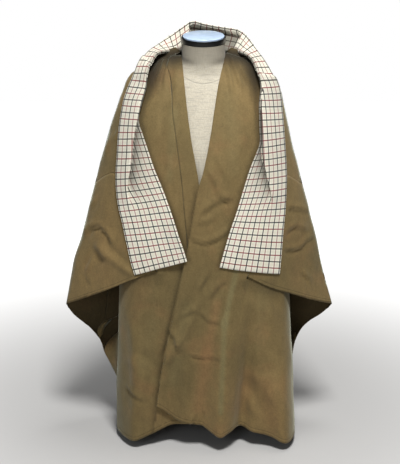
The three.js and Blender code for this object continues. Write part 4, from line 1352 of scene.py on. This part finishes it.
def cotton_material(sizes, name, share):
    """The coat's cotton; share is how much of its lightness it keeps, far less on the inner side as
    a painted shade, which shows only inside the sleeves and the skirt"""
    if name in bpy.data.materials:
        return bpy.data.materials[name]
    nodes = Nodes(name)
    place = nodes.place()
    light, dark, warm, green = (
        darker(linear(colour), share)
        for colour in (sizes.light, sizes.dark, sizes.warm, sizes.green))
    broad = nodes.noise(place, scale=3.2, detail=2.0)
    patchy = nodes.noise(place, scale=14.0, detail=4.0, roughness=0.6)
    colour = nodes.blend(nodes.ramp(broad, 0.36, 0.66), dark, light)
    colour = nodes.lay(colour, warm, nodes.ramp(patchy, 0.5, 0.72), 0.4)
    # Warm cloth tone where the tint is above 0, painted green sheen along crests and creases below
    # 0
    tint = nodes.attribute("tint")
    colour = nodes.blend(nodes.ramp(tint, 0.0, 1.0), colour, warm)
    greenish = nodes.math("MULTIPLY", tint, -1.0)
    colour = nodes.blend(nodes.ramp(greenish, 0.0, 1.0), colour, green)

    threads = 1 / sizes.thread
    twill = nodes.node("ShaderNodeTexWave", bands_direction="DIAGONAL", wave_profile="SIN")
    twill.inputs["Scale"].default_value = threads / 6.3
    twill.inputs["Distortion"].default_value = 1.2
    twill.inputs["Detail"].default_value = 1.0
    nodes.feed(twill.inputs["Vector"], place)
    slub = nodes.noise(nodes.place((1, 1, 7)), scale=threads * 0.45)
    grain = nodes.noise(place, scale=260.0, roughness=0.65)
    mottle = nodes.noise(nodes.place((1, 1, 0.6)), scale=70.0, detail=4.0, roughness=0.6)
    worn = nodes.math("ADD", nodes.math("MULTIPLY_ADD", slub, 0.4, 0.21),
                      nodes.math("MULTIPLY", grain, 0.7))
    worn = nodes.math("ADD", worn, nodes.math("MULTIPLY", mottle, 0.5))
    colour = nodes.darkened(colour, worn)

    from_edge = nodes.math("ABSOLUTE", nodes.math("SUBTRACT", nodes.cloth_marks()[1], sizes.hem))
    stitch = nodes.opposite(nodes.ramp(from_edge, STITCH_INNER, STITCH_OUTER))
    colour = nodes.lay(colour, darker(dark, 0.3), stitch, 0.36)
    # Painted shade from the shade attribute: beside the stole, beside the lap's edge and under the
    # cuffs
    colour = nodes.shaded(colour, 0.9)

    fine = nodes.bump(twill.outputs["Fac"], 0.3, 0.0004)
    wrinkles = nodes.noise(nodes.place((1, 1, 0.7)), scale=50.0, detail=4.0, roughness=0.6)
    soft = nodes.bump(wrinkles, 0.55, 0.0016, fine)
    sewn = nodes.bump(nodes.opposite(stitch), 0.5, 0.0008, soft)
    nodes.set(Base_Color=colour, Normal=sewn, Roughness=0.82, Specular_IOR_Level=0.28,
              Sheen_Weight=0.3, Sheen_Roughness=0.4, Sheen_Tint=(0.8, 0.88, 0.75, 1.0))
    return nodes.material


def stripe(nodes, value, period, first, width, soft):
    """1 on a stripe that comes back every period from the first one on, 0 beside it"""
    start = nodes.math("ADD", value, period * 1.5 - first)
    turn = nodes.math("FRACT", nodes.math("DIVIDE", start, period))
    off = nodes.math("ABSOLUTE", nodes.math("SUBTRACT", turn, 0.5))
    away = nodes.math("MULTIPLY", off, period)
    return nodes.opposite(nodes.ramp(away, width / 2 - soft, width / 2 + soft))


def check_material(sizes):
    """Cream cloth with faint lines, then red ones, then dark ones, drawn over one another"""
    nodes = Nodes("stole_tattersall_cloth")
    across, along, _ = nodes.cloth_marks()
    ground, grey, red, dark = (linear(c) for c in (sizes.ground, sizes.grey, sizes.red, sizes.dark))
    grain = nodes.noise(nodes.place((1, 1, 1), "UV"), scale=900.0, detail=2.0)
    colour = nodes.lay(ground, grey, grain, 0.25)
    ways = ((across, sizes.repeat_across, sizes.first_across, 0.68),
            (along, sizes.repeat_along, sizes.first_along, 0.9))
    for value, period, first, _ in ways:
        faint = stripe(nodes, value, period / 2, first + period / 4, sizes.line * 2.5, 0.001)
        colour = nodes.lay(colour, grey, faint, 0.3)
    for value, period, first, strength in ways:
        line = stripe(nodes, value, period, first + period / 2, sizes.line, LINE_EDGE)
        colour = nodes.lay(colour, red, line, strength)
    for value, period, first, _ in ways:
        line = stripe(nodes, value, period, first, sizes.line, LINE_EDGE)
        colour = nodes.lay(colour, dark, line, 0.94)
    # Painted shade: where the shade attribute says so, the cream of a shaded fold is laid over the
    # check, then the whole is darkened
    inner = darker(linear(sizes.inner), 0.9)
    colour = nodes.lay(colour, inner, nodes.attribute("shade"), 0.45)
    colour = nodes.shaded(colour, 1.0)

    waves = [nodes.math("SINE", nodes.math("MULTIPLY", value, 6.283 / sizes.thread))
             for value in (across, along)]
    fine = nodes.bump(nodes.math("MULTIPLY", *waves), 0.35, 0.0003)
    soft = nodes.bump(nodes.noise(nodes.place(), scale=60.0), 0.3, 0.001, fine)
    nodes.set(Base_Color=colour, Normal=soft, Roughness=0.9, Specular_IOR_Level=0.2,
              Sheen_Weight=0.25, Sheen_Roughness=0.5)
    return nodes.material


def linen_material(sizes):
    """Linen with uneven threads both ways, darker at the neck under the ring, partly greyer linen
    and partly painted shade, and with a curved seam below it
    """
    nodes = Nodes("form_linen_cover")
    upright = nodes.noise(nodes.place((1, 1, 0.06)), scale=620.0, detail=2.0, roughness=0.6)
    level = nodes.noise(nodes.place((0.06, 0.06, 1)), scale=620.0, detail=2.0, roughness=0.6)
    light, shade, thread = (
        linear(colour) for colour in (sizes.linen, sizes.linen_shade, sizes.linen_thread))
    colour = nodes.blend(nodes.ramp(upright, 0.42, 0.62), light, shade)
    colour = nodes.lay(colour, thread, nodes.ramp(level, 0.5, 0.66), 0.6)
    width, _, height = nodes.parts(nodes.place())
    # Darker towards the ring: partly greyer linen, partly painted shade of the ring
    by_ring = nodes.ramp(height, 0.93, 1.01)
    colour = nodes.lay(colour, darker(shade, 0.42), by_ring, 0.78)
    bow = nodes.math("MULTIPLY_ADD", nodes.math("MULTIPLY", width, width), 6.5, sizes.seam)
    away = nodes.math("ABSOLUTE", nodes.math("SUBTRACT", height, bow))
    seam = nodes.opposite(nodes.ramp(away, STITCH_INNER, STITCH_OUTER))
    colour = nodes.lay(colour, thread, seam, 0.6)
    fine = nodes.bump(nodes.math("ADD", upright, level), 0.4, 0.0005)
    sewn = nodes.bump(nodes.opposite(seam), 0.6, 0.001, fine)
    nodes.set(Base_Color=colour, Normal=sewn, Roughness=0.88, Specular_IOR_Level=0.25,
              Sheen_Weight=0.1)
    return nodes.material


def gloss_material(name, colour, roughness, coat=0.0, metallic=0.0):
    nodes = Nodes(name)
    smear = nodes.noise(nodes.place(), scale=30.0, detail=4.0, roughness=0.6)
    tone = linear(colour)
    pores = nodes.noise(nodes.place(), scale=180.0, detail=2.0)
    nodes.set(Base_Color=nodes.blend(nodes.ramp(smear, 0.4, 0.7), tone, darker(tone, 0.86)),
              Roughness=nodes.math("MULTIPLY_ADD", smear, 0.12, roughness - 0.06),
              Coat_Weight=coat, Metallic=metallic, Normal=nodes.bump(pores, 0.06, 0.0004))
    return nodes.material


def dress(thing, *materials):
    for material in materials:
        thing.data.materials.append(material)


def finish_piece(thing, slot, *stands_for):
    """Says which solids a piece stands for and which body carries it; the slot, for what it is made
    of, is not used
    """
    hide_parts(*stands_for)
    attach(thing, "root")


class CoatSizes(bpy.types.PropertyGroup):
    wall: bpy.props.FloatProperty(
        name="Cloth", description="Thickness of the coat's cloth", default=0.0012, unit="LENGTH")
    crease: bpy.props.FloatProperty(
        name="Creases", description="How deep the creases are", default=1.3, subtype="FACTOR")
    hem: bpy.props.FloatProperty(
        name="Hem", description="Depth of the stitched hem", default=0.011, unit="LENGTH")
    thread: bpy.props.FloatProperty(
        name="Twill", description="Pitch of the twill lines", default=0.0011, unit="LENGTH")
    light: bpy.props.FloatVectorProperty(
        name="Cotton", description="Colour of the cotton", size=3, subtype="COLOR",
        default=(0.495, 0.415, 0.265))
    dark: bpy.props.FloatVectorProperty(
        name="Shaded cotton", description="Darker patches of the cotton", size=3, subtype="COLOR",
        default=(0.43, 0.37, 0.235))
    warm: bpy.props.FloatVectorProperty(
        name="Warm cotton", description="Warmer patches of the cotton", size=3, subtype="COLOR",
        default=(0.52, 0.405, 0.265))
    # The green laid along fold crests and creases as painted sheen
    green: bpy.props.FloatVectorProperty(
        name="Green cotton", description="Greener patches of the cotton", size=3, subtype="COLOR",
        default=(0.47, 0.43, 0.29))
    # Lightness kept on the inner side: painted shade inside the sleeves and the skirt
    inner_painted_shade: bpy.props.FloatProperty(
        name="Wrong side", description="Lightness kept by the inner side", default=0.4,
        subtype="FACTOR")


class StoleSizes(bpy.types.PropertyGroup):
    cut: bpy.props.FloatProperty(
        name="Width", description="Whole width of the stole", default=0.150, unit="LENGTH")
    wall: bpy.props.FloatProperty(
        name="Cloth", description="Thickness of the stole's cloth", default=0.0012, unit="LENGTH")
    line: bpy.props.FloatProperty(
        name="Line", description="Width of a line of the check", default=0.0028, unit="LENGTH")
    thread: bpy.props.FloatProperty(
        name="Weave", description="Pitch of the weave", default=0.0012, unit="LENGTH")
    repeat_across: bpy.props.FloatProperty(
        name="Repeat across", description="Dark line to dark line, across", default=0.0282,
        unit="LENGTH")
    repeat_along: bpy.props.FloatProperty(
        name="Repeat along", description="Dark line to dark line, along", default=0.0318,
        unit="LENGTH")
    first_across: bpy.props.FloatProperty(
        name="First across", description="First dark line from the edge", default=0.0032,
        unit="LENGTH")
    first_along: bpy.props.FloatProperty(
        name="First along", description="First dark line from the end", default=0.012,
        unit="LENGTH")
    ground: bpy.props.FloatVectorProperty(
        name="Ground", description="Cream ground", size=3, subtype="COLOR",
        default=(0.99, 0.98, 0.92))
    grey: bpy.props.FloatVectorProperty(
        name="Faint lines", description="Grey-beige faint lines", size=3, subtype="COLOR",
        default=(0.84, 0.82, 0.75))
    red: bpy.props.FloatVectorProperty(
        name="Red lines", description="Red lines", size=3, subtype="COLOR",
        default=(0.52, 0.07, 0.11))
    dark: bpy.props.FloatVectorProperty(
        name="Dark lines", description="Charcoal lines", size=3, subtype="COLOR",
        default=(0.045, 0.05, 0.07))
    # The cream of a fold in shade, laid on as painted shade
    inner: bpy.props.FloatVectorProperty(
        name="Inner folds", description="Cream in the shade of a fold", size=3, subtype="COLOR",
        default=(0.62, 0.59, 0.51))


class FormSizes(bpy.types.PropertyGroup):
    seam: bpy.props.FloatProperty(
        name="Neck seam", description="Height of the neck seam in front", default=0.939,
        unit="LENGTH")
    linen: bpy.props.FloatVectorProperty(
        name="Linen", description="Colour of the cover", size=3, subtype="COLOR",
        default=(0.785, 0.762, 0.70))
    linen_shade: bpy.props.FloatVectorProperty(
        name="Linen shade", description="Darker threads", size=3, subtype="COLOR",
        default=(0.73, 0.70, 0.63))
    linen_thread: bpy.props.FloatVectorProperty(
        name="Linen slub", description="Uneven threads", size=3, subtype="COLOR",
        default=(0.62, 0.60, 0.56))
    ring: bpy.props.FloatVectorProperty(
        name="Ring", description="Colour of the neck ring", size=3, subtype="COLOR",
        default=(0.03, 0.03, 0.033))
    cap: bpy.props.FloatVectorProperty(
        name="Cap", description="Colour of the neck cap", size=3, subtype="COLOR",
        default=(0.72, 0.80, 0.90))
    stand: bpy.props.FloatVectorProperty(
        name="Stand", description="Colour of the pole and foot", size=3, subtype="COLOR",
        default=(0.16, 0.16, 0.155))


class StageSizes(bpy.types.PropertyGroup):
    distance: bpy.props.FloatProperty(
        name="Distance", description="Camera's distance from the form's middle", default=2.6,
        unit="LENGTH")
    height: bpy.props.FloatProperty(
        name="Height", description="Camera's height", default=1.214, unit="LENGTH")
    tilt: bpy.props.FloatProperty(
        name="Tilt", description="How far the camera looks down", default=math.radians(14.38),
        subtype="ANGLE")
    lens: bpy.props.FloatProperty(
        name="Lens", description="Focal length in millimetres", default=80.0)
    aside: bpy.props.FloatProperty(
        name="Aside", description="Camera's place to the side", default=-0.0088, unit="LENGTH")


def build_torso(sizes):
    """The torso up to the neck's slanting top, its two ends closed"""
    piece = Cloth()
    grid = []
    for down in steps(TORSO_ROWS):
        z = mix(FORM_TOP, FORM_BOTTOM, down ** 1.12)
        tilt = math.tan(NECK_TILT) * fade(z, 985, 1018)
        row = []
        for i in range(TORSO_COLUMNS):
            angle = 2 * math.pi * i / TORSO_COLUMNS
            sine = math.sin(angle)
            depth = FORM.read(z, "front" if sine < 0 else "back")
            y = math.copysign(depth * abs(sine) ** (2 * FORM.read(z, "round")), sine)
            x = FORM.read(z, "half") * math.cos(angle)
            row.append(piece.add(Vector((x, y, z + y * tilt))))
        grid.append(row + row[:1])
    piece.sheet(grid)
    thing = piece.build("dress_form_torso")
    select_only(thing)
    bpy.ops.object.mode_set(mode="EDIT")
    bpy.ops.mesh.select_all(action="DESELECT")
    bpy.ops.mesh.select_mode(type="EDGE")
    bpy.ops.mesh.select_non_manifold()
    bpy.ops.mesh.edge_face_add()
    bpy.ops.mesh.select_all(action="SELECT")
    bpy.ops.mesh.normals_make_consistent(inside=False)
    bpy.ops.object.mode_set(mode="OBJECT")
    bpy.ops.object.shade_smooth_by_angle(angle=math.radians(50))
    dress(thing, linen_material(sizes))
    finish_piece(thing, "form_linen", "form_torso")


def neck_disc(name, radius, depth, top, inset, drop, bevel):
    """A disc across the neck's top, leaning with it, inset and pushed in or out, with bevelled
    rims"""
    bpy.ops.object.select_all(action="DESELECT")
    bpy.ops.mesh.primitive_cylinder_add(
        vertices=128, radius=radius * MILLIMETRE, depth=depth * MILLIMETRE, end_fill_type="NGON")
    disc = bpy.context.active_object
    disc.name = disc.data.name = name
    bpy.ops.object.mode_set(mode="EDIT")
    bpy.ops.mesh.select_mode(type="FACE")
    shape = bmesh.from_edit_mesh(disc.data)
    for face in shape.faces:
        face.select_set(face.normal.z > 0.9)
    bmesh.update_edit_mesh(disc.data)
    bpy.ops.mesh.inset(thickness=inset * MILLIMETRE)
    bpy.ops.transform.translate(value=(0, 0, drop * MILLIMETRE))
    bpy.ops.object.mode_set(mode="OBJECT")
    round_rims(disc, bevel, 4, 25)
    disc.location = (0, 0, (top - depth / 2) * MILLIMETRE)
    bpy.ops.object.transform_apply(location=True)
    disc.rotation_euler = (NECK_TILT, 0, 0)
    disc.location = in_metres(Vector((0, 0, NECK_TOP)))
    bpy.ops.object.transform_apply(location=True, rotation=True)
    bpy.ops.object.shade_smooth_by_angle(angle=math.radians(40))
    return disc


class COAT_OT_form(bpy.types.Operator):
    """The linen-covered torso with the ring and cap of its neck"""
    bl_idname = "coat.form"
    bl_label = "Dress form"

    def execute(self, context):
        sizes = context.scene.coat_form
        build_torso(sizes)
        sunk = CAP_SET / 2
        ring = neck_disc("neck_ring", RING_RADIUS, depth=RING_HEIGHT - sunk, top=-sunk,
                         inset=3.2, drop=-sunk, bevel=1.2)
        dress(ring, gloss_material("form_ring_gloss", sizes.ring, roughness=0.3))
        finish_piece(ring, "form_ring", "form_ring")
        cap = neck_disc("neck_cap", CAP_RADIUS - 0.3, depth=CAP_SET, top=0.3,
                        inset=6.0, drop=1.2, bevel=1.4)
        dress(cap, gloss_material("form_cap_gloss", sizes.cap, roughness=0.16, coat=0.3))
        finish_piece(cap, "form_cap", "form_cap")
        return {"FINISHED"}


def stand_pole(context):
    """The pole between the foot and the torso, with a collar where it stands on the foot"""
    low, high = BASE_HEIGHT + STAND_GAP, HEM_CLEAR + FORM_BOTTOM - STAND_GAP
    bpy.ops.object.select_all(action="DESELECT")
    bpy.ops.mesh.primitive_cylinder_add(
        vertices=64, radius=POLE_RADIUS * MILLIMETRE, depth=(high - low) * MILLIMETRE,
        location=(0, POLE_BACK * MILLIMETRE, (low + high) / 2 * MILLIMETRE))
    pole = context.active_object
    pole.name = pole.data.name = "form_pole_tube"
    bpy.ops.object.transform_apply(location=True)
    bpy.ops.object.mode_set(mode="EDIT")
    for height in (low + COLLAR_HEIGHT, low + COLLAR_HEIGHT + 4):
        bpy.ops.mesh.select_all(action="SELECT")
        bpy.ops.mesh.bisect(plane_co=(0, 0, height * MILLIMETRE), plane_no=(0, 0, 1))
    grow = (POLE_RADIUS + COLLAR_PROUD) / POLE_RADIUS
    shape = bmesh.from_edit_mesh(pole.data)
    for vertex in shape.verts:
        if vertex.co.z < (low + COLLAR_HEIGHT + 1) * MILLIMETRE:
            vertex.co.x *= grow
            vertex.co.y = mix(POLE_BACK * MILLIMETRE, vertex.co.y, grow)
    bmesh.update_edit_mesh(pole.data)
    bpy.ops.object.mode_set(mode="OBJECT")
    round_rims(pole, 0.8, 3, 30)
    return pole


def stand_foot(context):
    """The foot: two skids with a cross bar between them, cut from plate with rounded corners"""
    outline = [
        (SKID_OUT, SKID_FRONT), (SKID_OUT, SKID_BACK),
        (SKID_IN, SKID_BACK), (SKID_IN, BAR_BACK), (-SKID_IN, BAR_BACK), (-SKID_IN, SKID_BACK),
        (-SKID_OUT, SKID_BACK), (-SKID_OUT, SKID_FRONT),
        (-SKID_IN, SKID_FRONT), (-SKID_IN, BAR_FRONT), (SKID_IN, BAR_FRONT), (SKID_IN, SKID_FRONT),
    ]
    corners = [(x * MILLIMETRE, y * MILLIMETRE, 0) for x, y in outline]
    mesh = bpy.data.meshes.new("form_foot")
    mesh.from_pydata(corners, [], [tuple(range(len(corners)))])
    foot = bpy.data.objects.new("form_foot", mesh)
    context.collection.objects.link(foot)
    select_only(foot)
    bpy.ops.object.mode_set(mode="EDIT")
    bpy.ops.mesh.select_mode(type="VERT")
    bpy.ops.mesh.select_all(action="SELECT")
    bpy.ops.mesh.bevel(offset=0.006, segments=5, affect="VERTICES")
    bpy.ops.mesh.select_all(action="SELECT")
    bpy.ops.mesh.extrude_region_move(
        TRANSFORM_OT_translate={"value": (0, 0, BASE_HEIGHT * MILLIMETRE)})
    bpy.ops.mesh.select_all(action="SELECT")
    bpy.ops.mesh.normals_make_consistent(inside=False)
    bpy.ops.object.mode_set(mode="OBJECT")
    round_rims(foot, 0.8, 3, 60)
    return foot


class COAT_OT_stand(bpy.types.Operator):
    """The pole and the low foot that the skirt hides"""
    bl_idname = "coat.stand"
    bl_label = "Stand"

    def execute(self, context):
        colour = context.scene.coat_form.stand
        paint = gloss_material("form_stand_paint", colour, roughness=0.45, metallic=0.3)
        for make, node in ((stand_pole, "form_pole"), (stand_foot, "form_base")):
            thing = make(context)
            bpy.ops.object.shade_smooth_by_angle(angle=math.radians(40))
            dress(thing, paint)
            finish_piece(thing, "form_stand", node)
        return {"FINISHED"}


def behind(point):
    """Whether a point of the coat takes the creases of the back"""
    return point.y > BACK_FROM


def sew(context, name, piece, node):
    """Makes one piece of the coat: its mesh, wall, cloth and the record of its flat cut, which is a
    rectangle of the given proportions that the piece fills to 80 percent"""
    sizes = context.scene.coat_cloth
    thing = piece.build(name, behind, sizes.crease)
    # The second material, on the inner side, keeps less lightness: painted shade inside the sleeves
    # and the skirt
    dress(thing, cotton_material(sizes, "coat_cotton_cloth", 1.0),
          cotton_material(sizes, "coat_cotton_wrong_side", sizes.inner_painted_shade))
    thicken(thing, sizes.wall)
    finish_piece(thing, "coat_cotton", node)


class COAT_OT_back(bpy.types.Operator):
    """The coat's back, from the shoulders to the hem"""
    bl_idname = "coat.back"
    bl_label = "Back"

    def execute(self, context):
        sew(context, "coat_back", back_piece(), "back")
        return {"FINISHED"}


class COAT_OT_fronts(bpy.types.Operator):
    """The two fronts and the raised band down the wearer's right one"""
    bl_idname = "coat.fronts"
    bl_label = "Fronts"

    def execute(self, context):
        right = front_piece(RIGHT, BAND_SEAM, HEM_RIGHT)
        left = front_piece(LEFT, FRONT_EDGE_LEFT, HEM_LEFT)
        sew(context, "coat_front_right", right, "front_right")
        sew(context, "coat_front_left", left, "front_left")
        sew(context, "coat_front_band", band_piece(), "front_band")
        return {"FINISHED"}


class COAT_OT_sleeves(bpy.types.Operator):
    """The two wide dropped sleeves"""
    bl_idname = "coat.sleeves"
    bl_label = "Sleeves"

    def execute(self, context):
        for side, name in ((RIGHT, "right"), (LEFT, "left")):
            sew(context, f"coat_sleeve_{name}", sleeve_piece(side), f"sleeve_{name}")
        return {"FINISHED"}


class COAT_OT_stole(bpy.types.Operator):
    """The checked stole, folded lengthwise round the neck"""
    bl_idname = "coat.stole"
    bl_label = "Stole"

    def execute(self, context):
        sizes = context.scene.coat_stole
        piece = stole_piece(sizes.cut / MILLIMETRE)
        thing = piece.build("stole_cloth", outwards=Vector((0, -1, 0.2)))
        dress(thing, check_material(sizes))
        thicken(thing, sizes.wall, 0.0)
        finish_piece(thing, "stole_wool", "stole_right", "stole_neck", "stole_left")
        return {"FINISHED"}


def floor_material():
    """Pale paper near the object that brightens to plain white away from it"""
    nodes = Nodes("stage_floor_white")
    place = nodes.node("ShaderNodeVectorMath", operation="LENGTH")
    nodes.feed(place.inputs[0], nodes.place())
    away = nodes.ramp(place.outputs["Value"], 0.3, 1.9)
    path = nodes.node("ShaderNodeLightPath")
    seen = nodes.math("MULTIPLY", away, path.outputs["Is Camera Ray"])
    glow = nodes.math("MULTIPLY", seen, 0.95)
    nodes.set(Base_Color=(0.55, 0.55, 0.55, 1.0), Roughness=0.95, Specular_IOR_Level=0.0,
              Emission_Color=(1.0, 1.0, 1.0, 1.0), Emission_Strength=glow)
    return nodes.material


def white_world(strength):
    """A world that looks white and lights the object softly"""
    world = bpy.data.worlds.new("stage_light")
    world.use_nodes = True
    tree = world.node_tree
    background = tree.nodes["Background"]
    background.inputs["Color"].default_value = (1.0, 1.0, 1.0, 1.0)
    path = tree.nodes.new("ShaderNodeLightPath")
    seen = tree.nodes.new("ShaderNodeMapRange")
    seen.inputs["To Min"].default_value = strength
    tree.links.new(path.outputs["Is Camera Ray"], seen.inputs["Value"])
    tree.links.new(seen.outputs[0], background.inputs["Strength"])
    return world


def add_light(name, place, size, power, colour):
    light = bpy.data.lights.new(name, "AREA")
    light.shape = "RECTANGLE"
    light.size = light.size_y = size
    light.energy = power
    light.color = colour
    lamp = bpy.data.objects.new(name, light)
    lamp.location = place
    aim = Vector(LIGHTS_AIM) - Vector(place)
    lamp.rotation_euler = aim.to_track_quat("-Z", "Y").to_euler()
    bpy.context.collection.objects.link(lamp)


class COAT_OT_stage(bpy.types.Operator):
    """The pale floor, the lights and the camera"""
    bl_idname = "coat.stage"
    bl_label = "Stage"

    def execute(self, context):
        sizes = context.scene.coat_stage
        scene = context.scene
        bpy.ops.object.select_all(action="DESELECT")
        bpy.ops.mesh.primitive_plane_add(size=14, location=(0, 0, -0.0005))
        floor = context.active_object
        floor.name = floor.data.name = "stage_floor"
        floor.data.materials.append(floor_material())
        bpy.ops.object.transform_apply(location=True)
        scene.world = white_world(WORLD_LIGHT)
        scene.view_settings.view_transform = "Standard"
        for light in LIGHTS:
            add_light(*light)
        camera = bpy.data.cameras.new("camera")
        camera.lens = sizes.lens
        camera.clip_end = 50
        eye = bpy.data.objects.new("camera", camera)
        eye.location = (sizes.aside, -sizes.distance - COAT_FORWARD * MILLIMETRE, sizes.height)
        eye.rotation_euler = (math.pi / 2 - sizes.tilt, 0, 0)
        context.collection.objects.link(eye)
        scene.camera = eye
        return {"FINISHED"}


class COAT_PT_panel(bpy.types.Panel):
    """Lists the steps and their sizes"""
    bl_label = "Blanket coat"
    bl_idname = "COAT_PT_panel"
    bl_space_type = "VIEW_3D"
    bl_region_type = "UI"
    bl_category = "Coat"

    def draw(self, context):
        for name, _, operators in STEPS:
            group = getattr(context.scene, name)
            for operator in operators:
                self.layout.operator(operator.bl_idname)
            for key in group.__annotations__:
                self.layout.prop(group, key)


STEPS = (
    ("coat_stage", StageSizes, (COAT_OT_stage,)),
    ("coat_form", FormSizes, (COAT_OT_form, COAT_OT_stand)),
    ("coat_cloth", CoatSizes, (COAT_OT_back, COAT_OT_fronts, COAT_OT_sleeves)),
    ("coat_stole", StoleSizes, (COAT_OT_stole,)),
)


def register():
    for name, sizes, operators in STEPS:
        bpy.utils.register_class(sizes)
        setattr(bpy.types.Scene, name, bpy.props.PointerProperty(type=sizes))
        for operator in operators:
            bpy.utils.register_class(operator)
    bpy.utils.register_class(COAT_PT_panel)


def unregister():
    bpy.utils.unregister_class(COAT_PT_panel)
    for name, sizes, operators in reversed(STEPS):
        for operator in reversed(operators):
            bpy.utils.unregister_class(operator)
        delattr(bpy.types.Scene, name)
        bpy.utils.unregister_class(sizes)


def main():
    register()
    bpy.ops.coat.stage()
    bpy.ops.coat.form()
    bpy.ops.coat.stand()
    bpy.ops.coat.back()
    bpy.ops.coat.fronts()
    bpy.ops.coat.sleeves()
    bpy.ops.coat.stole()


if __name__ == "__main__":
    main()
